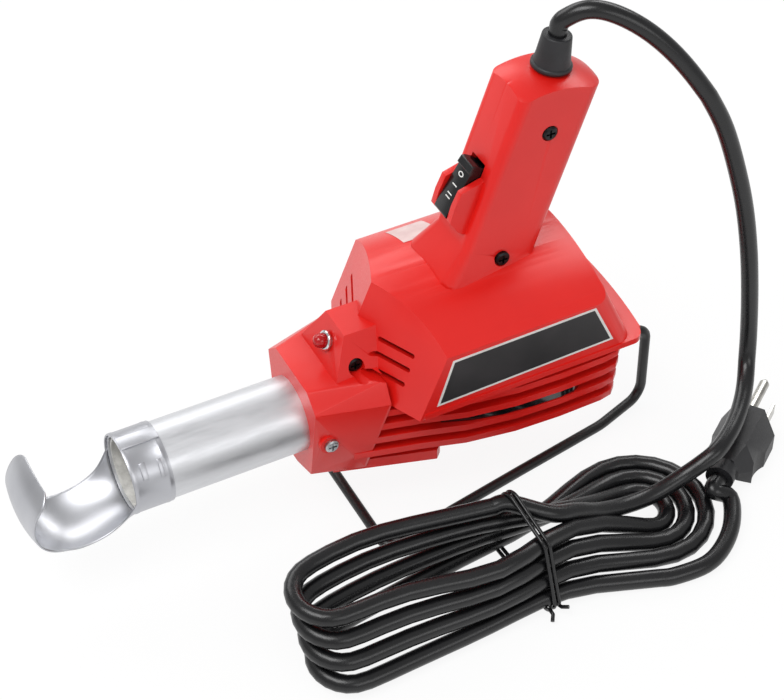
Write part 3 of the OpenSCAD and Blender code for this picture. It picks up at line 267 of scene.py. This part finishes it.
def copy_of(node, finish_of, edge_mm=0.3, sharp=35):
    bm = bmesh.new()
    bm.from_mesh(frame["nodes"][node].data)
    bmesh.ops.remove_doubles(bm, verts=bm.verts, dist=MERGE_M)
    bmesh.ops.dissolve_limit(bm, angle_limit=math.radians(FLAT_DEGREES), verts=bm.verts, edges=bm.edges)
    mesh = bpy.data.meshes.new(node + "_finished")
    bm.to_mesh(mesh)
    bm.free()
    made = bpy.data.objects.new(node + "_finished", mesh)
    return dress(made, [finish_of], BODY[node], (node,), edge_mm, sharp)


def lathe(bm, profile, steps=64):
    """Turns (radius, height) points about Z. Points on the axis close the shape."""
    verts = [bm.verts.new((r, 0, z)) for r, z in profile]
    edges = [bm.edges.new(pair) for pair in zip(verts, verts[1:])]
    bmesh.ops.spin(bm, geom=verts + edges, cent=(0, 0, 0), axis=(0, 0, 1), dvec=(0, 0, 0),
                   angle=math.tau, steps=steps, use_merge=True)
    bmesh.ops.remove_doubles(bm, verts=bm.verts, dist=0.001)
    bmesh.ops.recalc_face_normals(bm, faces=bm.faces)


def ring(bm, profile, steps=64):
    """A lathe's profile that is closed on itself, as for a tube."""
    lathe(bm, list(profile) + [profile[0]], steps)


print("bodies to ride on:", sorted(set(BODY.values())))

# %% [markdown]
# ## The mains lead
# One round lead leaves the boot, arches over and falls almost to the table, goes round a hank of
# folds and ends in its plug. It is one curve, so it keeps one thickness. The route repeats the
# solids' own, but for a smoother bend above the boot: free points along a spline, then loops from
# a formula.

# %% Places along the lead
LEAD_R = 4.0
SEAT = 0.02
BOOT_LEN = 16.0
boot_out = BUTT @ Vector((0, 0, BOOT_LEN))
boot_up = (BUTT.to_3x3() @ Vector((0, 0, 1))).normalized()
FREE = [(-127.5, 1, 220.5), (-131, 3, 225.5), (-136, 6, 228), (-142, 9.6, 227.4), (-149, 13.7, 224),
        (-157, 18.3, 218.6), (-165.5, 23.3, 210.2), (-175, 29, 197.5), (-182.7, 33.5, 183),
        (-189, 37.3, 168), (-195, 40.8, 147), (-200, 43.6, 125), (-203.8, 45.9, 100),
        (-206.4, 47.4, 75), (-207.8, 48.8, 52), (-206, 52.5, 39), (-200.5, 60.5, 32.5), (-193, 69, 30.2),
        (-185, 76.4, 29.4), (-177, 82.4, 29), (-168.5, 86.9, 27.8), (-161, 87.4, 24.2),
        (-151.5, 86.4, 18.8), (-136.5, 86.4, 14.4), (-121.2, 87.2, 15.6), (-106.6, 89, 21),
        (-93.5, 90.3, 28.4), (-80, 90.6, 34)]
PLUG_END = Vector((-169.5, 90, 12.2 - AXIS_H))
PLUG_DIR = Vector((-0.8, -0.6, 0))
print("the free run has", len(FREE), "chosen points")

# %% [markdown]
# ## The loops of the hank
# The hank is a long narrow coil of about three and a half turns. A turn runs out along the near
# side, round the front fold, back along the far side and round the rear fold, and both sides draw
# in to a waist where the wire tie nips them. The turns lie side by side at the rear fold and climb
# over each other at the front one. U runs along the hank and V across it.


# %% One turn, and the place on the hank at each turn
HANK_LEN, FOLD_RIGHT, FOLD_LEFT = 156.0, 39.0, 15.0
WAIST_HALF, WAIST_U, HANK_STEP, HANK_PILE = 18.0, 66.0, 9.2, 1.7
HANK_LEAN, LEAN_FROM, LEAN_OVER = 5.0, 10.0, 60.0
TIE_LIFT, LIFT_OVER = 2.4, 45.0
HANK_AT = (-131.5, 85.3)
HANK_TURN = math.radians(6.5)
HANK_START, HANK_END = 0.04, 3.62


def ease(t):
    return (1 - math.cos(math.pi * max(0.0, min(1.0, t)))) / 2


def run_half(u):
    fold, far = (FOLD_RIGHT, WAIST_U) if u < WAIST_U else (FOLD_LEFT, HANK_LEN - WAIST_U)
    return WAIST_HALF + (fold - WAIST_HALF) * ease(abs(u - WAIST_U) / far)


def loop_at(turned):
    """Place along one loop, and the direction out of it."""
    quarter, part = divmod(turned * 4, 1)
    swing = math.pi * part
    u = HANK_LEN * (part if quarter == 0 else 1 - part)
    slope = (run_half(u + 0.1) - run_half(u - 0.1)) / 0.2
    if quarter == 0:
        return u, run_half(u), -slope, 1
    if quarter == 1:
        return (HANK_LEN + FOLD_LEFT * math.sin(swing), FOLD_LEFT * math.cos(swing),
                math.sin(swing), math.cos(swing))
    if quarter == 2:
        return u, -run_half(u), -slope, -1
    return (-FOLD_RIGHT * math.sin(swing), -FOLD_RIGHT * math.cos(swing),
            -math.sin(swing), -math.cos(swing))


def on_hank(u, v, height):
    return Vector((HANK_AT[0] + u * math.cos(HANK_TURN) - v * math.sin(HANK_TURN),
                   HANK_AT[1] + u * math.sin(HANK_TURN) + v * math.cos(HANK_TURN), height - AXIS_H))


def hank_point(t):
    u, v, out_u, out_v = loop_at(t % 1)
    pile = math.pi / 2 * ease(HANK_PILE * u / HANK_LEN)
    off = -HANK_STEP * t * math.cos(pile) / math.hypot(out_u, out_v)
    lean = HANK_LEAN * t * ease((u - WAIST_U - LEAN_FROM) / LEAN_OVER)
    lift = TIE_LIFT * (1 - ease(abs(u - WAIST_U) / LIFT_OVER))
    return on_hank(u + off * out_u, v + off * out_v - lean,
                   LEAD_R + SEAT + HANK_STEP * t * math.sin(pile) + lift)


print("the hank starts at", tuple(round(c, 1) for c in hank_point(HANK_START)))

# %% [markdown]
# ## Smooth runs, and a wire along them
# Points relax when each moves towards the mean of its neighbours, which takes a kink out. A spline
# runs through its points in one smooth bend. A curve object with a round bevel makes the wire.


# %% Relaxed points, spline and wire
def relaxed(points, times):
    for _ in range(times):
        middle = [(a + 2 * b + c) / 4 for a, b, c in zip(points, points[1:], points[2:])]
        points = [points[0]] + middle + [points[-1]]
    return points


def spline(points, steps):
    """A smooth curve through the points, each stretch cut into equal steps."""
    out = []
    last = len(points) - 1
    for i in range(last):
        a, b, c, d = points[max(i - 1, 0)], points[i], points[i + 1], points[min(i + 2, last)]
        for t in (j / steps for j in range(steps)):
            out.append(0.5 * ((2 * b) + (c - a) * t + (2 * a - 5 * b + 4 * c - d) * t * t
                              + (3 * b - a - 3 * c + d) * t * t * t))
    return out + [points[last]]


def wire(name, points, radius_mm, finish_of, body="tool", stands_for=(), sides=4):
    """A round wire or cord along points given in millimetres, as one open spline."""
    data = bpy.data.curves.new(name, "CURVE")
    data.dimensions = "3D"
    data.bevel_depth = radius_mm / 1000
    data.bevel_resolution = sides
    data.use_fill_caps = True
    run = data.splines.new("POLY")
    run.points.add(len(points) - 1)
    for knot, p in zip(run.points, points):
        knot.co = (*(PLACE @ Vector(p)), 1)
    run.use_smooth = True
    data.materials.append(finish_of)
    made = bpy.data.objects.new(name, data)
    bpy.context.scene.collection.objects.link(made)
    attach(made, body)
    if stands_for:
        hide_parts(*stands_for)
    return made


print("three points in steps of four give", len(spline([Vector(p) for p in FREE[:3]], 4)), "points")


# %% The lead as one curve
def on_table(p):
    return Vector((p[0], p[1], p[2] - AXIS_H))


HANK_RINGS, HANK_FINE, HANK_EASED = 32, 3, 8
hank_cuts = HANK_FINE * math.ceil((HANK_END - HANK_START) * HANK_RINGS)
hank_curve = relaxed([hank_point(HANK_START + (HANK_END - HANK_START) * i / hank_cuts)
                      for i in range(hank_cuts + 1)], HANK_EASED)
hank = hank_curve[::HANK_FINE]
away_in = (hank[1] - hank[0]).normalized()
hank_in = hank[0] - 2 * LEAD_R * away_in
hank_in.z = max(hank_in.z, LEAD_R + SEAT - AXIS_H)
away_out = (hank[-1] - hank[-2]).normalized()
hank_out = hank[-1] + 2 * LEAD_R * away_out
level_in = Vector((hank[0].x - hank_in.x, hank[0].y - hank_in.y, 0)).normalized()
LEAD_IN = 1.8 * LEAD_R
free_run = spline([boot_out, boot_out + 2 * LEAD_R * boot_up] + [on_table(p) for p in FREE]
                  + [hank_out + LEAD_IN * away_out, hank_out], 6)
BEND_START, BEND_END, BEND_EASED = 3, 60, 50
free_run = (free_run[:BEND_START] + relaxed(free_run[BEND_START:BEND_END], BEND_EASED)
            + free_run[BEND_END:])
PLUG_BEND, PLUG_SEAT, PLUG_RISE, PLUG_ANGLES = FOLD_RIGHT + 1.8, LEAD_R + 0.1, 1100, (64, 44, 24, 6)
to_plug = [on_hank(-PLUG_BEND * math.sin(math.radians(a)), PLUG_BEND * math.cos(math.radians(a)),
                   PLUG_SEAT + a * a / PLUG_RISE) for a in PLUG_ANGLES]
plug_run = spline([PLUG_END, PLUG_END - 2 * LEAD_R * PLUG_DIR] + to_plug
                  + [hank_in - LEAD_IN * level_in, hank_in], 5)
route = free_run + hank_curve[::-2] + plug_run[::-1]
lead = wire("mains_lead", route, LEAD_R, cord_pvc, stands_for=("power_lead", "lead_hank", "plug_lead"),
            sides=6)

# %% [markdown]
# ## The wire tie
# A plastic coated wire is bent twice round the bundle, and its ends stick out low on the near side.
# Where the lead cuts the waist it leaves a set of round strands. The tie runs at their farthest
# reach in each direction, so it lies straight between strands and bends round those it touches.

# %% Tie
TIE_R, TIE_STEPS, TIE_PITCH, TIE_FROM, TIE_CLEAR = 0.9, 72, 2.3, -28.0, 0.2
TAIL_STEP, TAIL_SPREAD, TAIL_LOW = 2.4, 2, 1.2
BUNDLE_TOP = 60.0


def in_hank(p):
    x, y = p.x - HANK_AT[0], p.y - HANK_AT[1]
    return Vector((x * math.cos(HANK_TURN) + y * math.sin(HANK_TURN),
                   y * math.cos(HANK_TURN) - x * math.sin(HANK_TURN), p.z + AXIS_H))


strands = []
for a, b in zip(route[:-len(plug_run)], route[1:-len(plug_run)]):
    a, b = in_hank(a), in_hank(b)
    if (a.x - WAIST_U) * (b.x - WAIST_U) <= 0 and a.x != b.x and max(a.z, b.z) < BUNDLE_TOP:
        cut = a.lerp(b, (WAIST_U - a.x) / (b.x - a.x))
        strands.append(Vector((cut.y, cut.z)))
strand_mid = Vector([(max(q[k] for q in strands) + min(q[k] for q in strands)) / 2 for k in (0, 1)])


def reach(degrees):
    way = Vector((math.cos(math.radians(degrees)), math.sin(math.radians(degrees))))
    return max((q - strand_mid).dot(way) for q in strands) + LEAD_R + TIE_R + TIE_CLEAR


def tie_at(degrees):
    """The band's point that faces this way: out by its reach, and across by the change of reach."""
    c, s = math.cos(math.radians(degrees)), math.sin(math.radians(degrees))
    along = (reach(degrees + 1) - reach(degrees - 1)) * 90 / math.pi
    return strand_mid + reach(degrees) * Vector((c, s)) + along * Vector((-s, c))


tie_path = [on_hank(WAIST_U + TIE_PITCH * (i / TIE_STEPS - 1), *tie_at(TIE_FROM + 360 * i / TIE_STEPS))
            for i in range(2 * TIE_STEPS + 1)]
low_side = tie_at(TIE_FROM)
tails = [[on_hank(WAIST_U + TIE_PITCH * s + s * (k - 1) * TAIL_SPREAD, low_side.x + TAIL_STEP * k,
                  max(low_side.y - s * k, TAIL_LOW)) for k in (2, 1)] for s in (-1, 1)]
tie = wire("wire_tie", tails[0] + tie_path + tails[1][::-1], TIE_R, cord_pvc, stands_for=("hank_tie",))
print("tie round", len(strands), "strands")

# %% [markdown]
# ## The plug
# The plug is moulded on to the lead: a collar, a tapered neck and a flat-faced head with a scoop
# each side for the fingers. The collar and neck are turned. The head is the solid's own shape
# with its edges rounded, since all of its faces are plain.

# %% Plug head, neck, blades and pin
plug_turn = math.degrees(math.atan2(PLUG_DIR.y, PLUG_DIR.x))
PLUG = shift(*PLUG_END) @ turn("Z", plug_turn) @ turn("Y", 90)
bm = bmesh.new()
lathe(bm, [(0, 0.05), (5.9, 0.05), (6.6, 0.7), (6.6, 2.4), (6.1, 3), (5.4, 3.4), (5.75, 11), (5, 11.5),
           (0, 11.5)])
collar = piece("plug_collar", bm, [boot_pvc], place=PLUG, sharp=40)
plug = copy_of("plug_body", boot_pvc, 0.7, sharp=30)
blades = copy_of("plug_blades", nickel, 0.25)
earth = copy_of("ground_pin", nickel, 0.2)
print("plug ends the lead at", tuple(round(c, 3) for c in metres(PLUG_END)))

# %% [markdown]
# ## The boot
# Where the lead leaves the handle a soft boot keeps it from kinking. It has a collar that rests
# on the plastic and a plain taper that lets it bend. A lathe makes it in one go.

# %% Boot
BOOT_BORE = 4.06
boot_side = [(BOOT_BORE, -9), (7.4, -9), (7.5, -7.1), (6.0, -6.9), (6.0, 0.3), (8.6, 0.32), (9.0, 0.7),
             (9.0, 2.0), (8.6, 2.5), (8.15, 2.7), (7.5, 6.2), (6.5, BOOT_LEN - 0.8),
             (6.35, BOOT_LEN - 0.3), (6.0, BOOT_LEN), (BOOT_BORE, BOOT_LEN)]
bm = bmesh.new()
ring(bm, boot_side)
piece("cord_boot", bm, [boot_pvc], place=BUTT, stands_for=("strain_relief",), sharp=50)
print("boot with", len(boot_side), "profile points")

# %% [markdown]
# ## The housing
# Two halves meet on the centre line. The engineering solid already has the fins, slots, guards
# and bosses, so a copy of each half is merged and its edges are rounded. The small bevel where
# the halves meet draws the parting line that runs over the arch and the handle.

# %% Housing halves and screws
for half in ("left_housing", "right_housing"):
    copy_of(half, red_abs, 0.45, sharp=32)
copy_of("housing_screws", black_screw, 0.12)
copy_of("block_screw", zinc_screw, 0.12)
print("housing in two halves")

# %% [markdown]
# ## The barrel and the heater in its mouth
# The barrel is a plain tube. In its mouth sit a pale liner and a cross of mica boards with a coil
# of resistance wire round it. The coil is one helix, as it is wound.

# %% Barrel, liner and heater
copy_of("barrel_tube", drawn_steel, 0.15)
copy_of("heat_liner", ceramic_fibre, 0.2)
copy_of("heater_former", mica_board, 0.1)
TURNS, TURN_CUTS = 10, 24
COIL_FROM, COIL_LEN, COIL_R, COIL_WIRE_R = 5.0, 62.0, 9.4, 0.68
coil_step = COIL_LEN / TURNS
coil = [Vector((COIL_FROM + i * coil_step / TURN_CUTS, COIL_R * math.cos(i * math.tau / TURN_CUTS),
                COIL_R * math.sin(i * math.tau / TURN_CUTS))) for i in range(TURNS * TURN_CUTS + 1)]
wire("heater_winding", coil, COIL_WIRE_R, heater_wire, stands_for=("heater_coil",), sides=2)
print("coil of", TURNS, "turns")

# %% [markdown]
# ## The spoon reflector
# The reflector is cut from one thin sheet: a sleeve wrapped round the barrel, and a tongue that
# flattens out and curls up. The tongue comes first, as a flat grid. Each point is sent along the
# curl and across the trough, and a solidify modifier gives the sheet its thickness. Q is the way
# along the tongue from the sleeve, and bend is the angle that the curl has turned by then.

# %% Spoon
SHEET = 0.7
SLEEVE_R = 17.55
RIM = 82.0
TROUGH_R = SLEEVE_R + SHEET / 2
LAP = 1.0
CURL_REACH, CURL_R, LIP, SPOON_HALF = 26.0, 22.2, 56.0, 17.0
CORNER, CORNER_CUT = 7.0, 0.96
NECK_OVER = 9
OPEN_BY, OPEN_OVER = 11, 18
FLAT_BY, FLAT_FROM, FLAT_OVER = 60, 34, 30
CURL_LEN = CURL_R * math.radians(90 + LIP)
SPOON_LEN = CURL_REACH + CURL_LEN


def thicken(made, sheet_mm):
    thick = made.modifiers.new("sheet", "SOLIDIFY")
    thick.thickness = sheet_mm / 1000
    thick.offset = 0


def spoon_point(q, t):
    """Place of a point q along the tongue, and t across it from -1 to 1."""
    bend = max(0.0, q - CURL_REACH) / CURL_R
    if q < CURL_REACH:
        x, z = RIM - LAP + q, -TROUGH_R - (CURL_R - TROUGH_R) * ease(q / CURL_REACH)
    else:
        x, z = RIM - LAP + CURL_REACH + CURL_R * math.sin(bend), -CURL_R * math.cos(bend)
    arc = TROUGH_R + OPEN_BY * ease(q / OPEN_OVER) + FLAT_BY * ease((q - FLAT_FROM) / FLAT_OVER)
    near_lip = max(0.0, q - SPOON_LEN + CORNER) / CORNER
    half = (SPOON_HALF - CORNER * (1 - math.sqrt(max(0.0, 1 - CORNER_CUT * near_lip * near_lip)))
            + (TROUGH_R - SPOON_HALF) * (1 - ease(q / NECK_OVER)))
    side = math.asin(min(0.9999, half / arc)) * t
    rise = arc * (1 - math.cos(side))
    return Vector((x - math.sin(bend) * rise, arc * math.sin(side), z + math.cos(bend) * rise))


ROWS, ACROSS = 72, 28
EVEN, CROWDED = 0.9, 0.1
bm = bmesh.new()
bmesh.ops.create_grid(bm, x_segments=ROWS, y_segments=ACROSS, size=1)
for v in bm.verts:
    along = (v.co.x + 1) / 2
    if along >= EVEN:
        along = EVEN + CROWDED * math.sin((along - EVEN) / CROWDED * math.pi / 2)
    v.co = spoon_point(SPOON_LEN * along, v.co.y)
bmesh.ops.recalc_face_normals(bm, faces=bm.faces)
spoon = piece("spoon", bm, [tinned_sheet], body="reflector", stands_for=("reflector",), sharp=60)
thicken(spoon, SHEET)
print("spoon reaches x =", round(max(v.co.x for v in spoon.data.vertices), 4))

# %% [markdown]
# ## The sleeve
# The sleeve is rolled from the same sheet. Its ends overlap in a flat seam on top, and two
# pressed tabs at the side grip the barrel. The tube is turned, and the seam and tabs are small
# grids bent to the sleeve's radius.


# %% Sleeve, seam and tabs
def wrapped(name, degrees, along, radius, sheet_mm):
    """A patch of sheet bent round the barrel's axis. 0 degrees is +Y and 90 is up."""
    bm = bmesh.new()
    bmesh.ops.create_grid(bm, x_segments=12, y_segments=2, size=1)
    for v in bm.verts:
        a = math.radians(degrees[0] + (degrees[1] - degrees[0]) * (v.co.x + 1) / 2)
        x = along[0] + (along[1] - along[0]) * (v.co.y + 1) / 2
        v.co = Vector((x, radius * math.cos(a), radius * math.sin(a)))
    bmesh.ops.recalc_face_normals(bm, faces=bm.faces)
    made = piece(name, bm, [tinned_sheet], body="reflector", sharp=40)
    thicken(made, sheet_mm)
    soften(made, 0.1, 30, harden=False)


PATCHES = {"sleeve_seam": ((78, 102), (64.3, 81.7), 0.25, 0.5),
           "sleeve_tab_front": ((28, 52), (74.6, 77.2), 0.15, 0.5),
           "sleeve_tab_back": ((24, 50), (67.4, 69.2), 0.15, 0.4)}
outer = SLEEVE_R + SHEET
bm = bmesh.new()
ring(bm, [(SLEEVE_R, 64), (outer, 64), (outer, 65.2), (outer + 0.15, 65.6), (outer + 0.15, 66.4),
          (outer, 66.8), (outer, 79.6), (outer + 0.2, 80.2), (outer + 0.2, 81.4), (outer, RIM),
          (SLEEVE_R, RIM)], 96)
piece("sleeve", bm, [tinned_sheet], body="reflector", place=BARREL, sharp=50)
for name, (degrees, along, lift, sheet_mm) in PATCHES.items():
    wrapped(name, degrees, along, outer + lift, sheet_mm)
print("sleeve radius", outer)

# %% [markdown]
# ## The indicator lamp
# A chromed ring stands on the slanted front of the raised box, and a domed red lens sits in it.
# Both are turned shapes. The lens has flutes, pressed in by moving every second point inwards.

# %% Bezel and lens
FLUTE_PITCH, FLUTE_SHARE = 15, 0.965
FLUTES_FROM, FLUTES_TO_R = 1.0, 1.2
bm = bmesh.new()
ring(bm, [(3.32, -5), (3.5, -5), (3.52, 0.92), (4.4, 0.95), (4.6, 1.2), (4.55, 2.0), (4.1, 2.45),
          (3.6, 2.5), (3.32, 2.3)])
piece("lamp_ring", bm, [chrome], place=LAMP, stands_for=("lamp_bezel",), sharp=40)
bm = bmesh.new()
lathe(bm, [(0, -2), (3.2, -2), (3.25, 3.4), (3.2, 4.6), (2.9, 5.6), (2.3, 6.4), (1.4, 7.0), (0.5, 7.25),
           (0, 7.27)], 48)
for v in bm.verts:
    angle = math.degrees(math.atan2(v.co.y, v.co.x)) % FLUTE_PITCH
    between = FLUTE_PITCH / 4 < angle < FLUTE_PITCH * 3 / 4
    if between and v.co.z > FLUTES_FROM and math.hypot(v.co.x, v.co.y) > FLUTES_TO_R:
        v.co.x *= FLUTE_SHARE
        v.co.y *= FLUTE_SHARE
piece("lamp_cap", bm, [red_acrylic], place=LAMP, stands_for=("lamp_lens",), sharp=70)
print("lamp at", tuple(round(c, 4) for c in metres((0, 0, 0), LAMP)))

# %% [markdown]
# ## The rocker
# The rocker has three positions, printed 0, I and II in white along its face. The marks are thin
# raised pads that ride on its body, so they tilt with it. The ring of the 0 is turned and
# stretched, and the bars are flattened boxes.


# %% Rocker and its marks
copy_of("rocker", rocker_black, 0.35)
FACE, PAD = 14.0, 0.06
MARK_ROWS = {"zero": (6.2,), "one": (0.6,), "two": (-5.6, -3.8)}
for name, rows in MARK_ROWS.items():
    for i, row in enumerate(rows):
        bm = bmesh.new()
        if name == "zero":
            ring(bm, [(0.75, 0), (1.15, 0), (1.15, PAD), (0.75, PAD)], 32)
            bmesh.ops.scale(bm, vec=(1.0, 1.6, 1.0), verts=bm.verts)
        else:
            bmesh.ops.create_cube(bm, size=1)
            bmesh.ops.scale(bm, vec=(0.5, 3.4, PAD), verts=bm.verts)
            bmesh.ops.translate(bm, vec=(0, 0, PAD / 2), verts=bm.verts)
        place = ROCKER @ shift(FACE, 0, row) @ turn("Y", 90)
        piece(f"mark_{name}_{i}", bm, [mark_white], body="rocker", place=place)
print("marks at rows", MARK_ROWS)

# %% [markdown]
# ## The blower behind the fins
# The drum shows as a dark glossy band between the fins, so it is enamelled black and its edges
# are rounded. The rest of the blower and the switch sit inside: they keep their solids and get
# the finish of what they are made of.

# %% Drum and inner parts
copy_of("blower_drum", drum_black, 1.3, sharp=40)
INNER = {"barrel_clamp": zinc_screw, "thermal_cutout": black_nylon, "lamp_body": pale_nylon,
         "switch_body": black_nylon, "inner_lead": cord_pvc, "cord_clamp": black_nylon,
         "terminal_block": pale_nylon, "drum_lid": drum_black, "fan_wheel": black_nylon,
         "motor_shaft": zinc_screw, "rotor": copper_winding, "motor_can": drawn_steel,
         "motor_cap": pale_nylon, "bearings": bronze_bush}
for node, finish_of in INNER.items():
    mesh = frame["nodes"][node].data
    mesh.materials.clear()
    mesh.materials.append(finish_of)
print(len(INNER), "inner nodes finished")

# %% [markdown]
# ## The wire stand
# The stand is one length of round wire, bent in a press: two pins in the bracket, arms to the
# rear, uprights down to the table, and legs that splay to a cross bar at the front. Each bend is
# an arc. The curve follows the same corners as the solid, with finer arcs.


# %% Stand and bracket
ARC_STEP = 7


def corner(a, b, c, radius):
    """The arc that rounds the corner b between a and c, as points."""
    u, v = (a - b).normalized(), (c - b).normalized()
    half = math.acos(max(-1.0, min(1.0, u.dot(v)))) / 2
    middle = b + (u + v).normalized() * radius / math.sin(half)
    start = (b + u * radius / math.tan(half) - middle).normalized()
    end = (b + v * radius / math.tan(half) - middle).normalized()
    swing = math.pi - 2 * half
    steps = max(3, math.ceil(math.degrees(swing) / ARC_STEP))
    return [middle + radius * (math.sin((1 - i / steps) * swing) * start + math.sin(i / steps * swing) * end)
            / math.sin(swing) for i in range(steps + 1)]


PIVOT_X, PIVOT_Z, WIRE_R, PIN_END, ARM_HALF, REAR_X = -158.0, -7.0, 2.4, 4.5, 18, -172.5
leg_z = -AXIS_H + WIRE_R
near = [Vector(p) for p in [(PIVOT_X, PIN_END, PIVOT_Z), (PIVOT_X, ARM_HALF, PIVOT_Z),
                            (REAR_X, ARM_HALF, PIVOT_Z), (REAR_X, 18.5, leg_z), (-145, 28, leg_z),
                            (-97, 36.5, leg_z), (-56.5, 44, leg_z), (-20.5, 52.3, leg_z)]]
knots = near + [Vector((p.x, -p.y, p.z)) for p in near[::-1]]
half_radii = [5, 6, 8, 40, 60, 60, 6]
radii = half_radii + half_radii[::-1]
bent = [knots[0]]
for i, radius in enumerate(radii):
    bent += corner(*knots[i:i + 3], radius)
bent.append(knots[-1])
wire("wire_stand", bent, WIRE_R - 0.01, wire_coat, body="stand", stands_for=("stand_wire",), sides=5)
copy_of("stand_bracket", wire_coat, 0.4)
print("stand wire over", len(bent), "points")

# %% [markdown]
# ## The bare plates
# A plate with a white border line sits on the near side, and a pale sticker on the far side of
# the arch. Both are left bare. The border is an inset of the plate's front face.

# %% Side plate and sticker
PLATE = [(-48.7, 19.9), (-56.1, 43.7), (-126.6, 44.8), (-136.9, 22.3)]
PLATE_BACK, PLATE_FRONT, BORDER = 43.5, 43.72, 1.1
bm = bmesh.new()
front = bm.faces.new([bm.verts.new((x, PLATE_FRONT, z)) for x, z in PLATE])
bmesh.ops.recalc_face_normals(bm, faces=bm.faces)
border = bmesh.ops.inset_individual(bm, faces=[front], thickness=BORDER, use_even_offset=True)
for face in bm.faces:
    face.material_index = 0 if face is front else 1
print("border of", len(border["faces"]), "faces round", len(bm.faces) - len(border["faces"]))
rim = bmesh.ops.extrude_face_region(bm, geom=list(bm.faces))
for v in (g for g in rim["geom"] if isinstance(g, bmesh.types.BMVert)):
    v.co.y = PLATE_BACK
bmesh.ops.recalc_face_normals(bm, faces=bm.faces)
piece("side_plate", bm, [label_black, label_white], stands_for=("side_label",), sharp=30)
copy_of("top_sticker", sticker, 0.05)
print("plates in place")

# %% [markdown]
# ## Floor, light and background
# The tool stands on a plain pale table in a light tent. The floor shines nearly white to the
# camera and to mirrors, and still takes a soft shadow of the tool. Four large lamps model the red
# plastic: one high in front, a weaker fill at the near side, and two behind that draw the edges
# and run along the barrel. The tent is white to the camera and half as bright where it lights.


# %% Floor
FLOOR_HALF, SHINE = 4, 0.9


def seen_directly(tree):
    """1 for rays from the camera, a mirror or a glass, and 0 for the rays that light other things."""
    path = add(tree, "ShaderNodeLightPath")
    mirror = add(tree, "ShaderNodeMath", {0: path.outputs["Is Camera Ray"], 1: path.outputs["Is Glossy Ray"]},
                 operation="MAXIMUM")
    return add(tree, "ShaderNodeMath", {0: mirror.outputs[0], 1: path.outputs["Is Transmission Ray"]},
               operation="MAXIMUM").outputs[0]


floor_finish = bpy.data.materials.new("white_table")
floor_finish.use_nodes = True
tree = floor_finish.node_tree
tree.nodes.clear()
matt = add(tree, "ShaderNodeBsdfDiffuse", values={"Color": linear("f2f2f2")})
bright = add(tree, "ShaderNodeEmission", values={"Color": WHITE, "Strength": 1.0})
share = add(tree, "ShaderNodeMath", {0: seen_directly(tree)}, {1: SHINE}, operation="MULTIPLY")
mixed = add(tree, "ShaderNodeMixShader", {0: share.outputs[0], 1: matt.outputs[0], 2: bright.outputs[0]})
add(tree, "ShaderNodeOutputMaterial", {"Surface": mixed.outputs[0]})
bm = bmesh.new()
bmesh.ops.create_grid(bm, x_segments=1, y_segments=1, size=FLOOR_HALF)
floor_mesh = bpy.data.meshes.new("floor")
bm.to_mesh(floor_mesh)
bm.free()
floor_mesh.materials.append(floor_finish)
floor = bpy.data.objects.new("floor", floor_mesh)
bpy.context.scene.collection.objects.link(floor)
print("floor", 2 * FLOOR_HALF, "m square")

# %% World and lamps
TENT_LIGHT = 0.5
AIM = Vector((0, 0, 0.06))
world = bpy.data.worlds.new("light_tent")
bpy.context.scene.world = world
world.use_nodes = True
tree = world.node_tree
tree.nodes.clear()
path = add(tree, "ShaderNodeLightPath")
level = add(tree, "ShaderNodeMapRange", {"Value": path.outputs["Is Camera Ray"]},
            {"To Min": TENT_LIGHT, "To Max": 1.0})
sky = add(tree, "ShaderNodeBackground", {"Strength": level.outputs[0]}, {"Color": WHITE})
add(tree, "ShaderNodeOutputWorld", {"Surface": sky.outputs[0]})


def softbox(name, place, size, watts):
    data = bpy.data.lights.new(name, "AREA")
    data.shape = "RECTANGLE"
    data.size, data.size_y = size
    data.energy = watts
    lamp = bpy.data.objects.new(name, data)
    bpy.context.scene.collection.objects.link(lamp)
    lamp.location = place
    lamp.rotation_mode = "QUATERNION"
    lamp.rotation_quaternion = (AIM - Vector(place)).to_track_quat("-Z", "Y")


softbox("key", (0.55, 0.25, 1.15), (0.8, 0.6), 9.0)
softbox("fill", (-0.2, 1.25, 0.7), (0.9, 0.5), 3.0)
softbox("rim", (-0.9, -0.6, 0.9), (0.9, 0.4), 5.0)
softbox("back", (0.15, -1.0, 0.75), (1.2, 0.5), 5.0)
bpy.context.scene.view_settings.view_transform = "Standard"
print("lit by", len(bpy.data.lights), "softboxes")
